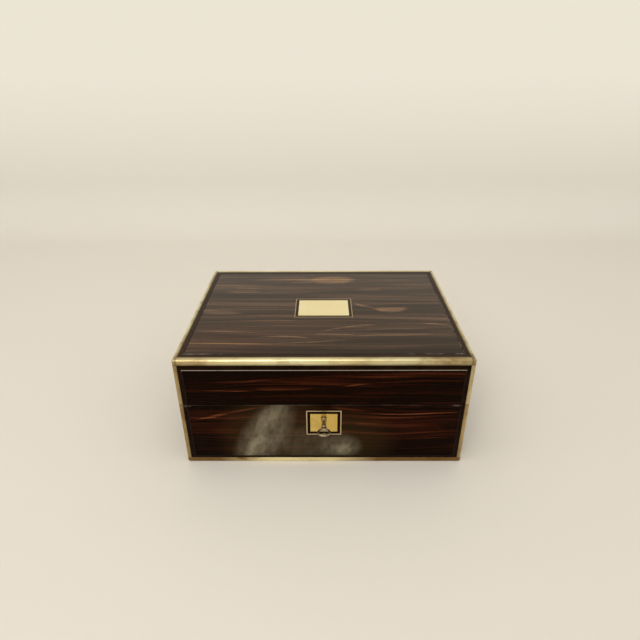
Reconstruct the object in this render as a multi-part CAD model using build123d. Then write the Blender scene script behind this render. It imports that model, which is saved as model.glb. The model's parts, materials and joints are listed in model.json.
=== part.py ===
from build123d import *
import os
from math import asin, atan2, cos, hypot, pi, radians, tan

# An antique fitted dressing box, closed, with its key in the lock.
# Frame: the origin is the centre of the underside, +Z is up, the front faces -Y and +X is to the
# right seen from the front. Lengths are in millimetres and angles in degrees.

# ---- the box as a whole ----
box_width = 305.0
box_depth = 231.0
box_height = 135.0
lid_height = 55.0
joint_gap = 0.6  # between the rims of lid and base
skin = 1.2  # veneer, brass binding and underside leather are all this thick
binding_leg = 6.3  # width of each face of the brass edge binding
binding_side_leg = 4.5  # but of the uprights on front and back, and of the side strips on top
mitre_overrun = 0.2  # share of the binding's width that its mitre cuts run past it
arris_radius = 2.0  # rounding along the binding's outer edges
board = 7.8  # wall boards of lid and base
lid_board = 6.8  # the lid's top board

# ---- marquetry: brass lines with an ebony band outside them ----
line_width = 0.9
top_line_side = 9.7  # from the lid's side edges to the middle of the line
top_line_front = 12.0  # from the lid's front and back edges
wall_line_side = 9.0  # from the upright edges of the four walls
wall_line_top = 12.0  # below the lid's top face
wall_line_foot = 8.7  # above the underside

# ---- lid plaque and escutcheon: plate, ebony border, brass line ----
plaque_width = 59.3
plaque_depth = 40.0
escutcheon_width = 28.9
escutcheon_height = 23.8
escutcheon_drop = 5.3  # the plate's middle below the key's axis
border_width = 3.2
frame_line = 1.1

# ---- hinges ----
hinge_inset = 2.5  # axis in front of the back face
lid_opening = 100.0  # where the bevelled back edges stop the lid
stop_slack = 3.0
barrel_radius = 2.2
barrel_clearance = 0.2
pin_radius = 0.9
pin_clearance = 0.03
leaf_thickness = 1.2
leaf_margin = 0.8  # wood left between a leaf and the board's inner face
hinge_length = 50.0
hinge_x = 95.0  # middle of each hinge from the middle of the box
knuckle_count = 5
knuckle_gap = 0.2

# ---- screws ----
screw_head = 1.3
screw_head_depth = 1.0
screw_shank = 0.7
screw_length = 6.0
hinge_screw_pitch = 17.0
link_screw_x = 25.0
lock_screw_x = 27.5
lock_screw_inset = 4.0  # from the lock plate's upper and lower edges

# ---- lock, bolt and link plate ----
lock_half_width = 30.0
case_half_width = 25.0
lock_drop = 30.0  # height of the lock below the rim
lock_depth = 6.0  # into the front board from its inner face
lock_plate = 1.0
selvedge = 1.6  # the lock's top plate, flush with the rim
bolt_gap = 0.3
bolt_throw = 5.0
bolt_edge = 4.9  # bolt's lower edge above the key's axis
talon_clearance = 0.4
hook_pitch = 26.0
hook_width = 6.0
hook_thickness = 2.0
hook_drop = 9.5  # the hooks reach this far below the lid's rim
hook_toe = 2.4
notch_height = 3.6
notch_depth = 4.5
hook_side_clearance = 0.6
finger_rest_gap = 1.0
finger_post = 4.0
link_thickness = 1.2
drill_radius = 1.2
drill_reach = 9.0
key_tip_gap = 0.5  # between the key's end and the lock's back plate

# ---- key ----
keyhole_drop = 18.6  # key's axis below the base's rim
key_radius = 2.5
key_bearing_clearance = 0.05
key_bore_depth = 8.2
keyhole_radius = 2.9
bit_radius = 6.5
bit_thickness = 2.0
bit_clearance = 0.3
collar_radius = 3.2
collar_start = 1.0  # distances in front of the box's front face
collar_end = 3.2
collar_roundness = 0.42  # edge rounding as a share of a collar's length
neck_radius = 2.4
bead_radius = 3.0
bead_start = 12.4
bead_end = 15.0
bow_middle = 21.4
bow_half_width = 7.0
bow_half_length = 5.7
bow_bar = 2.4
bow_rounding = 0.8

# ---- jewel drawer in the right-hand side ----
drawer_height = 31.7
drawer_gap = 0.3
drawer_side = 4.0
drawer_side_drop = 2.0  # the sides are this much lower than the front
drawer_back = 5.0
drawer_floor = 3.0
drawer_velvet = 1.2
drawer_divider = 2.5
drawer_divider_height = 18.0
drawer_bays = 3
dust_board_thickness = 3.0
spring_space = 4.0
spring_thickness = 0.6
spring_width = 12.0
spring_length = 70.0

# ---- drop pin that holds the drawer ----
drop_pin_radius = 1.2
drop_pin_clearance = 0.05
drop_pin_travel = 6.0
drop_pin_tip = 0.1  # above the dust board's underside while the pin is lifted
pin_hole_depth = 7.0
knob_radius = 3.0
knob_height = 4.0
knob_rounding = 1.2

# ---- well of the base ----
lining = 1.0
rim_reveal = 1.0  # linings and partitions stop this far below the rim
slat = 3.0
cross_slat = 6.0
loose_fit = 1.0  # room on each side of every bottle, box and tray

# ---- bottles, boxes and their tops ----
bottle_width = 42.0
bottle_proud = 6.6  # the square body rises this far above the rim
bottle_edge = 3.0
bottle_shoulder = 8.0
neck_outer = 15.0
neck_height = 6.0
bottle_bore = 13.0
bottle_bottom = 6.0
cap_radius = 17.5
cap_height = 16.0
cap_rounding = 5.0
stopper_depth = 5.0
stopper_clearance = 0.1
glass_wall = 4.0
glass_box_drop = 7.4  # the glass ends this far below the rim
glass_box_edge = 2.0
box_lid_thickness = 3.6
box_lid_rounding = 1.4
box_lid_plug = 2.0

# ---- lift-out tray and manicure tools ----
tray_board = 3.0
tray_drop = 3.0  # tray's top edge below the rim
tool_bay = 80.0
tool_pad_height = 21.0
tool_count = 6
tool_pitch = 27.0
handle_length = 40.0
handle_butt = 3.4
handle_neck = 2.4
groove_clearance = 0.2
blade_thickness = 1.2
blade_tip_rounding = 0.4  # as a share of the blade's width
blade_lengths = (32.0, 26.0, 34.0, 30.0, 28.0, 33.0)
blade_widths = (4.4, 3.0, 3.6, 4.2, 2.6, 3.8)

# ---- mirror in the lid ----
mirror_side_gap = 12.0
mirror_front_gap = 14.0
mirror_back_gap = 10.0
mirror_frame_width = 12.0
mirror_frame_thickness = 6.0
mirror_lip = 1.5
mirror_rebate = 3.0
mirror_thickness = 3.0
mirror_clearance = 0.2
cleat_half_width = 60.0
cleat_overlap = 4.0
cleat_thickness = 2.0
catch_block_half_width = 12.0
catch_thickness = 1.5
catch_gap = 0.3
catch_pivot_radius = 1.2
catch_pivot_clearance = 0.05
catch_pivot_length = 4.5
catch_pivot_gap = 6.0  # pivot in front of the mirror frame
catch_root = 4.0
catch_nose = 2.5
catch_reach = 7.5

# ---- planes and levels that follow ----
half_x = box_width / 2
half_y = box_depth / 2
core_x = half_x - skin
core_y = half_y - skin
inner_x = core_x - board
inner_y = core_y - board
window_x = half_x - binding_side_leg
window_y = half_y - binding_leg
lid_z = box_height - lid_height
rim_z = lid_z - joint_gap
lock_foot_z = rim_z - lock_drop
floor_z = binding_leg
top_window_z = box_height - binding_leg
top_core_z = box_height - skin
ceiling_z = top_core_z - lid_board
axis_y = half_y - hinge_inset
axis_z = rim_z + joint_gap / 2
key_z = rim_z - keyhole_drop
escutcheon_z = key_z - escutcheon_drop
drawer_low = floor_z + drawer_gap
drawer_top = drawer_low + drawer_height
dust_z = drawer_top + drawer_gap
well_z = dust_z + dust_board_thickness
well_floor = well_z + lining
well_top = rim_z - rim_reveal
bottle_body = rim_z + bottle_proud - well_floor
glass_box_height = rim_z - glass_box_drop - well_floor
well_x = inner_x - lining
well_y = inner_y - lining
past = 1.0  # how far a cutter runs past what it cuts


def block(x0, x1, y0, y1, z0, z1):
    """A rectangular block between two opposite corners."""
    middle = Pos((x0 + x1) / 2, (y0 + y1) / 2, (z0 + z1) / 2)
    return middle * Box(abs(x1 - x0), abs(y1 - y0), abs(z1 - z0))


def rod(radius, start, end):
    """A round bar between the centres of its two ends."""
    run = Vector(*end) - Vector(*start)
    place = Plane(origin=start, z_dir=run)
    return place * Cylinder(radius, run.length, align=(Align.CENTER, Align.CENTER, Align.MIN))


def taper(start_radius, end_radius, start, end):
    """A round bar whose radius changes evenly from one end to the other."""
    run = Vector(*end) - Vector(*start)
    place = Plane(origin=start, z_dir=run)
    return place * Cone(
        start_radius, end_radius, run.length, align=(Align.CENTER, Align.CENTER, Align.MIN)
    )


def screw(x, y, z, direction):
    """A countersunk screw whose head lies flush at the point, driven in along the direction."""
    head = Vector(x, y, z)
    way = Vector(*direction)
    shoulder = head + way * screw_head_depth
    tip = head + way * screw_length
    return taper(screw_head, screw_shank, head, shoulder) + rod(screw_shank, shoulder, tip)


def ring_strips(place, half_u, half_v, width, u=0.0, v=0.0):
    """Four butted strips round the inside of a rectangle of the given half sizes."""
    strips = []
    for side in (-1, 1):
        outer_v = v + side * half_v
        outer_u = u + side * half_u
        strips.append(place(u - half_u, u + half_u, outer_v, outer_v - side * width))
        strips.append(place(outer_u, outer_u - side * width, v - half_v + width, v + half_v - width))
    return strips


def without(pieces, *cutters):
    """The same pieces with the cutters taken out of each."""
    for cutter in cutters:
        pieces = [piece - cutter for piece in pieces]
    return pieces


def save(node, *pieces):
    """Write one node, a single piece or a group of separate ones."""
    solids = [solid for piece in pieces for solid in piece.solids()]
    body = solids[0] if len(solids) == 1 else Compound(solids)
    export_step(body, f"parts/{node}.step")


# ---- what cuts both halves ----
def hinge_centres():
    return (-hinge_x, hinge_x)


def back_bevel():
    """The wedge, opening backwards from the hinge axis, that bevels both back edges."""
    reach = hinge_inset + past
    rise = reach * tan(radians((lid_opening + stop_slack) / 2))
    outline = Polyline(
        (axis_y, axis_z), (axis_y + reach, axis_z + rise), (axis_y + reach, axis_z - rise), close=True
    )
    return extrude(Plane.YZ * make_face(outline), amount=half_x + past, both=True)


def barrel_room():
    """The round channels in the boards that the hinge barrels turn in."""
    half = hinge_length / 2 + barrel_clearance
    radius = barrel_radius + barrel_clearance
    channels = [
        rod(radius, (x - half, axis_y, axis_z), (x + half, axis_y, axis_z)) for x in hinge_centres()
    ]
    return channels[0] + channels[1]


def keyhole(radius, y_start, y_end):
    """The round hole and the slot below it that the key's bit goes in by."""
    slot = bit_thickness / 2 + bit_clearance
    foot = key_z - bit_radius - bit_clearance * 2
    return rod(radius, (0, y_start, key_z), (0, y_end, key_z)) + block(
        -slot, slot, y_start, y_end, foot, key_z
    )


# ---- brass binding ----
def binding_cage():
    """Brass on all twelve edges: a rounded box, hollowed, with a window in each face."""
    whole = Pos(0, 0, box_height / 2) * Box(box_width, box_depth, box_height)
    whole = fillet(whole.edges(), arris_radius)
    core = block(-core_x, core_x, -core_y, core_y, skin, top_core_z)
    through_x = block(-half_x, half_x, -window_y, window_y, floor_z, top_window_z)
    through_y = block(-window_x, window_x, -half_y, half_y, floor_z, top_window_z)
    through_z = block(-window_x, window_x, -window_y, window_y, 0, box_height)
    return whole - core - through_x - through_y - through_z


def plan_corners(share):
    """The corners of the box's plan, moved out along the mitres by a share of the binding's width."""
    x = half_x + share * binding_side_leg
    y = half_y + share * binding_leg
    return [(-x, -y), (x, -y), (x, y), (-x, y)]


def mitred(ring):
    """The four strips of a binding ring, mitred at its corners."""
    outer = plan_corners(mitre_overrun)
    inner = plan_corners(-1 - mitre_overrun)
    strips = []
    for here in range(4):
        there = (here + 1) % 4
        plan = make_face(Polyline(outer[here], outer[there], inner[there], inner[here], close=True))
        strips.append(ring & extrude(plan, amount=box_height))
    return strips


def slab(z0, z1):
    """Everything between two levels."""
    return block(-half_x - past, half_x + past, -half_y - past, half_y + past, z0, z1)


def make_binding():
    cage = binding_cage()
    bevel = back_bevel()
    save("base_foot_binding", *mitred(cage & slab(0, floor_z)))
    save("lid_top_binding", *mitred(cage & slab(top_window_z, box_height)))
    save("base_corner_binding", (cage & slab(floor_z, rim_z)) - bevel)
    save("lid_corner_binding", (cage & slab(lid_z, top_window_z)) - bevel)


# ---- skins of the faces ----
def top_skin(u0, u1, v0, v1):
    return block(u0, u1, v0, v1, top_core_z, box_height)


def front_skin(u0, u1, v0, v1):
    return block(u0, u1, -half_y, -core_y, v0, v1)


def back_skin(u0, u1, v0, v1):
    return block(u0, u1, core_y, half_y, v0, v1)


def left_skin(u0, u1, v0, v1):
    return block(-half_x, -core_x, u0, u1, v0, v1)


def right_skin(u0, u1, v0, v1):
    return block(core_x, half_x, u0, u1, v0, v1)


def marquetry(place, u_edge, u_line, low, high, line_low=None, line_high=None):
    """Veneer panel, brass lines and ebony bands of one face, all flush.

    The face runs from -u_edge to u_edge and from low to high. A line lies at u_line on each side,
    and at line_low and line_high where they are given; elsewhere panel and bands run to the edge."""
    half = line_width / 2
    panel_u = u_line - half
    band_u = u_line + half
    line_foot = low if line_low is None else line_low - half
    line_head = high if line_high is None else line_high + half
    panel_low = low if line_low is None else line_low + half
    panel_high = high if line_high is None else line_high - half
    panel = place(-panel_u, panel_u, panel_low, panel_high)
    lines = []
    bands = []
    for side in (-1, 1):
        lines.append(place(side * panel_u, side * band_u, line_foot, line_head))
        bands.append(place(side * band_u, side * u_edge, low, high))
    if line_low is not None:
        lines.append(place(-panel_u, panel_u, line_foot, panel_low))
        bands.append(place(-band_u, band_u, low, line_foot))
    if line_high is not None:
        lines.append(place(-panel_u, panel_u, panel_high, line_head))
        bands.append(place(-band_u, band_u, line_head, high))
    return panel, lines, bands


def wall_marquetry(place, u_edge, u_half, low, high, line_low=None, line_high=None):
    """Marquetry of a wall, whose upright lines keep one distance from its edges."""
    return marquetry(place, u_edge, u_half - wall_line_side, low, high, line_low, line_high)


def framed_plate(place, width, height, v=0.0):
    """An inlaid plate, its ebony border, the brass line round that, and the pocket for them all."""
    border_u = width / 2 + border_width
    border_v = height / 2 + border_width
    line_u = border_u + frame_line
    line_v = border_v + frame_line
    plate = place(-width / 2, width / 2, v - height / 2, v + height / 2)
    border = ring_strips(place, border_u, border_v, border_width, v=v)
    line = ring_strips(place, line_u, line_v, frame_line, v=v)
    pocket = place(-line_u, line_u, v - line_v, v + line_v)
    return plate, border, line, pocket


def make_lid_skins():
    line_v = half_y - top_line_front
    high_line = box_height - wall_line_top
    cuts = (back_bevel(), barrel_room())
    top, top_lines, top_bands = marquetry(
        top_skin, window_x, half_x - top_line_side, -window_y, window_y, -line_v, line_v
    )
    plate, border, frame, pocket = framed_plate(top_skin, plaque_width, plaque_depth)
    save("lid_top_veneer", top - pocket)
    save("plaque_plate", plate)
    lines = top_lines + frame
    bands = top_bands + border
    front, front_lines, front_bands = wall_marquetry(
        front_skin, window_x, half_x, lid_z, top_window_z, line_high=high_line
    )
    save("lid_front_veneer", front)
    back, back_lines, back_bands = wall_marquetry(
        back_skin, window_x, half_x, lid_z, top_window_z, line_high=high_line
    )
    save("lid_back_veneer", *without([back], *cuts))
    lines += front_lines + without(back_lines, *cuts)
    bands += front_bands + without(back_bands, *cuts)
    ends = []
    for place in (left_skin, right_skin):
        end, end_lines, end_bands = wall_marquetry(
            place, window_y, half_y, lid_z, top_window_z, line_high=high_line
        )
        ends.append(end)
        lines += end_lines
        bands += end_bands
    save("lid_end_veneers", *ends)
    save("lid_stringing", *lines)
    save("lid_ebony_banding", *bands)


def make_base_skins():
    cuts = (back_bevel(), barrel_room())
    front, lines, bands = wall_marquetry(
        front_skin, window_x, half_x, floor_z, rim_z, line_low=wall_line_foot
    )
    plate, border, frame, pocket = framed_plate(
        front_skin, escutcheon_width, escutcheon_height, escutcheon_z
    )
    hole = keyhole(keyhole_radius, -half_y - past, -core_y + past)
    save("base_front_veneer", front - pocket)
    save("escutcheon_plate", plate - hole)
    lines += frame
    bands += border
    back, back_lines, back_bands = wall_marquetry(
        back_skin, window_x, half_x, floor_z, rim_z, line_low=wall_line_foot
    )
    save("base_back_veneer", *without([back], *cuts))
    lines += without(back_lines, *cuts)
    bands += without(back_bands, *cuts)
    left, left_lines, left_bands = wall_marquetry(
        left_skin, window_y, half_y, floor_z, rim_z, line_low=wall_line_foot
    )
    save("base_left_veneer", left)
    right, right_lines, right_bands = wall_marquetry(right_skin, window_y, half_y, dust_z, rim_z)
    save("base_right_veneer", right)
    save("base_stringing", *lines, *left_lines, *right_lines)
    save("base_ebony_banding", *bands, *left_bands, *right_bands)
    leather = block(-window_x, window_x, -window_y, window_y, 0, skin)
    save("underside_leather", leather)


# ---- carcase ----
def cross_board(side, z0, z1):
    """A front (-1) or back (1) board, rebated at both ends for the end boards."""
    plain = block(-core_x, core_x, side * inner_y, side * core_y, z0, z1)
    for end in (-1, 1):
        plain -= block(end * inner_x, end * (core_x + past), side * inner_y, side * window_y, z0, z1)
    return plain


def end_board(side, z0, z1):
    """A left (-1) or right (1) board, between the rebates of front and back."""
    return block(side * inner_x, side * core_x, -window_y, window_y, z0, z1)


def leaf_blank(z0, z1, x):
    """The flat part of one hinge leaf, from its front edge to the hinge axis."""
    half = hinge_length / 2
    return block(x - half, x + half, inner_y + leaf_margin, axis_y, z0, z1)


def leaf_recesses(z0, z1):
    return [leaf_blank(z0, z1, x) for x in hinge_centres()]


def make_base_carcase(screws):
    bottom = block(-core_x, core_x, -core_y, core_y, skin, floor_z)
    save("base_bottom_board", bottom)
    front = cross_board(-1, floor_z, rim_z)
    front -= block(
        -case_half_width, case_half_width, lock_y(0), lock_y(lock_depth), lock_foot_z, rim_z
    )
    front -= block(
        -lock_half_width, lock_half_width, lock_y(0), lock_y(lock_plate), lock_foot_z, rim_z
    )
    front -= block(
        -lock_half_width, lock_half_width, lock_y(0), lock_y(lock_depth), rim_z - selvedge, rim_z
    )
    front -= keyhole(keyhole_radius, -core_y - past, -inner_y)
    save("base_front_board", *without([front], *screws))
    back = cross_board(1, floor_z, rim_z)
    cutters = [back_bevel(), barrel_room()] + leaf_recesses(rim_z - leaf_thickness, rim_z)
    save("base_back_board", *without([back], *cutters, *screws))
    save("base_left_board", end_board(-1, floor_z, rim_z))
    save("base_right_board", end_board(1, dust_z, rim_z))


def make_lid_carcase(screws):
    save("lid_top_board", block(-core_x, core_x, -core_y, core_y, ceiling_z, top_core_z))
    front = cross_board(-1, lid_z, ceiling_z)
    front -= link_blank()
    save("lid_front_board", *without([front], *screws))
    back = cross_board(1, lid_z, ceiling_z)
    cutters = [back_bevel(), barrel_room()] + leaf_recesses(lid_z, lid_z + leaf_thickness)
    save("lid_back_board", *without([back], *cutters, *screws))
    save("lid_end_boards", end_board(-1, lid_z, ceiling_z), end_board(1, lid_z, ceiling_z))


# ---- hinges ----
def knuckle_spans(x):
    """Start and end of each knuckle of the hinge centred at x."""
    length = (hinge_length - (knuckle_count - 1) * knuckle_gap) / knuckle_count
    start = x - hinge_length / 2
    return [
        (start + i * (length + knuckle_gap), start + i * (length + knuckle_gap) + length)
        for i in range(knuckle_count)
    ]


def hinge_leaf(x, z0, z1, own):
    """One leaf: its flat, its own knuckles (first is 0 or 1), and room for the other leaf's."""
    leaf = leaf_blank(z0, z1, x)
    room = barrel_radius + barrel_clearance
    for i, (start, end) in enumerate(knuckle_spans(x)):
        if i % 2 != own:
            leaf -= rod(
                room, (start - knuckle_gap, axis_y, axis_z), (end + knuckle_gap, axis_y, axis_z)
            )
    for i, (start, end) in enumerate(knuckle_spans(x)):
        if i % 2 == own:
            leaf += rod(barrel_radius, (start, axis_y, axis_z), (end, axis_y, axis_z))
    reach = hinge_length / 2 + past
    bore = rod(pin_radius + pin_clearance, (x - reach, axis_y, axis_z), (x + reach, axis_y, axis_z))
    return leaf - bore


def hinge_screws(z, direction):
    """Three screws in each leaf, in the flat in front of the barrel's channel."""
    front = inner_y + leaf_margin
    channel = axis_y - barrel_radius - barrel_clearance
    middle = (front + channel) / 2
    return [
        screw(x + i * hinge_screw_pitch, middle, z, direction)
        for x in hinge_centres()
        for i in (-1, 0, 1)
    ]


def make_hinges(base_screws, lid_screws):
    base = [hinge_leaf(x, rim_z - leaf_thickness, rim_z, 0) for x in hinge_centres()]
    lid = [hinge_leaf(x, lid_z, lid_z + leaf_thickness, 1) for x in hinge_centres()]
    half = hinge_length / 2
    pins = [
        rod(pin_radius, (x - half, axis_y, axis_z), (x + half, axis_y, axis_z))
        for x in hinge_centres()
    ]
    save("hinge_base_leaves", *without(base, *base_screws))
    save("hinge_lid_leaves", *without(lid, *lid_screws))
    save("hinge_pins", *pins)


# ---- lock ----
def lock_y(depth):
    """Y of the plane this deep in the front board, from its inner face."""
    return -inner_y - depth


def hook_starts():
    """Left edge of each hook."""
    return (-hook_pitch / 2, hook_pitch / 2)


def hook_plane(extra=0.0):
    """The two faces of the hooks, which hang in the middle of the lock's depth."""
    middle = lock_depth / 2
    half = hook_thickness / 2 + extra
    return lock_y(middle - half), lock_y(middle + half)


def lock_screws():
    return [
        screw(side * lock_screw_x, lock_y(0), z, (0, -1, 0))
        for side in (-1, 1)
        for z in (lock_foot_z + lock_screw_inset, rim_z - lock_screw_inset)
    ]


def make_lock(screws):
    foot = lock_foot_z
    back_plate = block(-lock_half_width, lock_half_width, lock_y(0), lock_y(lock_plate), foot, rim_z)
    top_plate = block(
        -lock_half_width, lock_half_width, lock_y(0), lock_y(lock_depth), rim_z - selvedge, rim_z
    )
    near_y0, near_y1 = hook_plane(hook_side_clearance)
    for start in hook_starts():
        left = start - hook_side_clearance
        right = start + hook_width + hook_side_clearance
        top_plate -= block(left, right, near_y0, near_y1, rim_z - selvedge, rim_z)
    case = back_plate + top_plate
    cap_face = lock_depth - lock_plate
    for side in (-1, 1):
        inside = side * (case_half_width - lock_plate)
        case += block(inside, side * case_half_width, lock_y(0), lock_y(cap_face), foot, rim_z)
    case += block(
        -case_half_width, case_half_width, lock_y(0), lock_y(cap_face), foot, foot + lock_plate
    )
    case += rod(drill_radius, (0, lock_y(lock_plate / 2), key_z), (0, lock_y(drill_reach), key_z))
    save("lock_case", *without([case], *screws))
    cap = block(
        -case_half_width, case_half_width, lock_y(cap_face), lock_y(lock_depth), foot, rim_z - selvedge
    )
    hole = keyhole(key_radius + key_bearing_clearance, lock_y(cap_face), lock_y(lock_depth + past))
    save("lock_cap_plate", cap - hole)
    save("lock_bolt", make_bolt())


def talon():
    """The notch's two ends in the bolt, wide enough for the bit over its whole turn."""
    corner = hypot(bit_radius, bit_thickness / 2)
    lead = atan2(bit_thickness / 2, bit_radius)
    meets = asin(bolt_edge / corner)
    left = -corner * cos(meets) - bolt_throw * (meets - lead) / pi
    right = corner * cos(meets) - bolt_throw * (pi - meets + lead) / pi
    return left - talon_clearance, right + talon_clearance


def make_bolt():
    """A flat bar with a notch for the bit below and a hooked finger for each hook above."""
    y0 = lock_y(lock_plate + bolt_gap)
    y1 = lock_y(lock_depth - lock_plate - bolt_gap)
    bar_top = lid_z - hook_drop - bolt_gap
    finger_low = lid_z - hook_drop + hook_toe + bolt_gap
    finger_top = lid_z - hook_drop + hook_toe + notch_height - bolt_gap
    bolt = None
    posts = []
    for start in hook_starts():
        post_right = start - bolt_throw - bolt_gap
        post_left = post_right - finger_post
        posts.append((post_left, post_right))
        post = block(post_left, post_right, y0, y1, key_z + bolt_edge, finger_top)
        tip = block(post_right, start - finger_rest_gap, y0, y1, finger_low, finger_top)
        bolt = post + tip if bolt is None else bolt + post + tip
    bolt += block(posts[0][0], posts[-1][1], y0, y1, key_z + bolt_edge, bar_top)
    left, right = talon()
    notch_top = key_z + hypot(bit_radius, bit_thickness / 2) + talon_clearance
    return bolt - block(left, right, y0, y1, key_z, notch_top)


def link_blank():
    return block(
        -lock_half_width, lock_half_width, lock_y(0), lock_y(lock_depth), lid_z, lid_z + link_thickness
    )


def link_screws():
    middle = lock_y(lock_depth / 2)
    return [screw(side * link_screw_x, middle, lid_z, (0, 0, 1)) for side in (-1, 1)]


def make_link_plate(screws):
    """The plate let into the lid's rim, with the two hooks that the bolt's fingers enter."""
    plate = link_blank()
    y0, y1 = hook_plane()
    foot = lid_z - hook_drop
    for start in hook_starts():
        plate += block(start, start + hook_width, y0, y1, foot, lid_z)
        notch_low = foot + hook_toe
        plate -= block(start, start + notch_depth, y0, y1, notch_low, notch_low + notch_height)
    save("link_plate", *without([plate], *screws))


# ---- key ----
def key_y(out):
    """Y of the plane this far in front of the box's front face."""
    return -half_y - out


def round_collar(radius, start, end):
    """A turned collar on the key's stem, half round in section."""
    collar = rod(radius, (0, key_y(start), key_z), (0, key_y(end), key_z))
    return fillet(collar.edges().filter_by(GeomType.CIRCLE), (end - start) * collar_roundness)


def make_key():
    """A pipe key: hollow stem, bit pointing left, two collars and an oval bow lying level."""
    tip_depth = lock_plate + key_tip_gap
    tip = lock_y(tip_depth)
    key = rod(key_radius, (0, tip, key_z), (0, key_y(collar_start), key_z))
    key += round_collar(collar_radius, collar_start, collar_end)
    neck_end = bow_middle - bow_half_length + bow_bar / 2
    key += rod(neck_radius, (0, key_y(collar_start), key_z), (0, key_y(neck_end), key_z))
    key += round_collar(bead_radius, bead_start, bead_end)
    bow_plan = Ellipse(bow_half_width, bow_half_length) - Ellipse(
        bow_half_width - bow_bar, bow_half_length - bow_bar
    )
    bow = extrude(bow_plan, amount=bow_bar / 2, both=True)
    bow = fillet(bow.edges(), bow_rounding)
    key += Pos(0, key_y(bow_middle), key_z) * bow
    bit_end = lock_depth - lock_plate - bolt_gap
    half = bit_thickness / 2
    key += block(-bit_radius, 0, tip, lock_y(bit_end), key_z - half, key_z + half)
    bore = drill_radius + key_bearing_clearance
    key -= rod(bore, (0, tip, key_z), (0, lock_y(tip_depth + key_bore_depth), key_z))
    save("key", key)


# ---- well: dust board, partitions, tray ----
def bay():
    """Side of a bottle's compartment."""
    return bottle_width + 2 * loose_fit


def column_x():
    """Half the distance between the two bottle columns' partitions, on their outer faces."""
    return well_x - bay()


def row_y():
    """Outer face of the cross partitions."""
    return well_y - bay()


def drop_pin_xy():
    """The pin stands over the middle of the drawer's back board, in a cross partition."""
    x = -inner_x + spring_space + drawer_back / 2
    return x, row_y() - cross_slat / 2


def drop_pin_hole(z0, z1):
    x, y = drop_pin_xy()
    return rod(drop_pin_radius + drop_pin_clearance, (x, y, z0), (x, y, z1))


def make_well():
    hole = drop_pin_hole(dust_z - past, rim_z)
    dust_board = block(-inner_x, inner_x, -inner_y, inner_y, dust_z, well_z)
    save("dust_board", dust_board - hole)
    pieces = [block(-inner_x, inner_x, -inner_y, inner_y, well_z, well_floor)]
    for side in (-1, 1):
        pieces.append(block(-inner_x, inner_x, side * well_y, side * inner_y, well_floor, well_top))
        pieces.append(block(side * well_x, side * inner_x, -well_y, well_y, well_floor, well_top))
        outer = side * column_x()
        inner = side * (column_x() - slat)
        pieces.append(block(inner, outer, -well_y, well_y, well_floor, well_top))
        for row in (-1, 1):
            near = row * (row_y() - cross_slat)
            pieces.append(block(outer, side * well_x, near, row * row_y(), well_floor, well_top))
    middle = column_x() - slat
    pieces.append(
        block(-middle, middle, -row_y(), -(row_y() - cross_slat), well_floor, well_top)
    )
    save("well_divider", *without(pieces, hole))


def tray_plan():
    """Half width, front edge and back edge of the lift-out tray."""
    half = column_x() - slat - loose_fit
    return half, -(row_y() - cross_slat) + loose_fit, well_y - loose_fit


def tool_rows():
    """X of each tool, and the front edge of the pad they lie on."""
    first = -(tool_count - 1) / 2 * tool_pitch
    tray_back = tray_plan()[2]
    return [first + i * tool_pitch for i in range(tool_count)], tray_back - tray_board - tool_bay


def tool_axis():
    """Height of the tools' axes, half sunk in the pad."""
    return well_floor + tray_board + tool_pad_height


def make_tray():
    half, front, back = tray_plan()
    top = rim_z - tray_drop
    deck = well_floor + tray_board
    inside = half - tray_board
    xs, pad_front = tool_rows()
    pieces = [block(-half, half, front, back, well_floor, deck)]
    pieces.append(block(-half, half, front, front + tray_board, deck, top))
    pieces.append(block(-half, half, back - tray_board, back, deck, top))
    for side in (-1, 1):
        pieces.append(
            block(side * inside, side * half, front + tray_board, back - tray_board, deck, top)
        )
    pieces.append(block(-inside, inside, pad_front - tray_board, pad_front, deck, top))
    split = tray_board / 2
    pieces.append(block(-split, split, front + tray_board, pad_front - tray_board, deck, top))
    pad = block(-inside, inside, pad_front, back - tray_board, deck, tool_axis())
    for x in xs:
        pad -= rod(
            handle_butt + groove_clearance,
            (x, pad_front, tool_axis()),
            (x, back - tray_board, tool_axis()),
        )
    save("lift_out_tray", *pieces, pad)


def make_tools():
    xs, pad_front = tool_rows()
    z = tool_axis()
    start = pad_front + loose_fit
    neck = start + handle_length
    handles = []
    blades = []
    for x, length, width in zip(xs, blade_lengths, blade_widths):
        handles.append(taper(handle_butt, handle_neck, (x, start, z), (x, neck, z)))
        half = blade_thickness / 2
        blade = block(x - width / 2, x + width / 2, neck, neck + length, z - half, z + half)
        tip = blade.edges().filter_by(Axis.Z).group_by(Axis.Y)[-1]
        blades.append(fillet(tip, width * blade_tip_rounding))
    save("tool_handles", *handles)
    save("tool_blades", *blades)


# ---- bottles and glass boxes ----
def make_bottle():
    """A square jar with bevelled corners, sloped shoulders and a round bore and neck."""
    half = bottle_width / 2
    body = block(-half, half, -half, half, 0, bottle_body)
    body = chamfer(body.edges().filter_by(Axis.Z), bottle_edge)
    body = chamfer(body.faces().sort_by(Axis.Z)[-1].edges(), bottle_shoulder - bottle_edge)
    top = bottle_body + neck_height
    body += rod(neck_outer, (0, 0, bottle_body / 2), (0, 0, top))
    return body - rod(bottle_bore, (0, 0, bottle_bottom), (0, 0, top))


def make_cap():
    """A silver-plated top that stands on the neck, with a stopper in the bore."""
    cap = rod(cap_radius, (0, 0, 0), (0, 0, cap_height))
    cap = fillet(cap.faces().sort_by(Axis.Z)[-1].edges(), cap_rounding)
    return cap + rod(bottle_bore - stopper_clearance, (0, 0, -stopper_depth), (0, 0, 0))


def bottle_spots():
    x = well_x - bay() / 2
    y = well_y - bay() / 2
    return [(side * x, row * y) for side in (-1, 1) for row in (-1, 1)]


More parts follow.
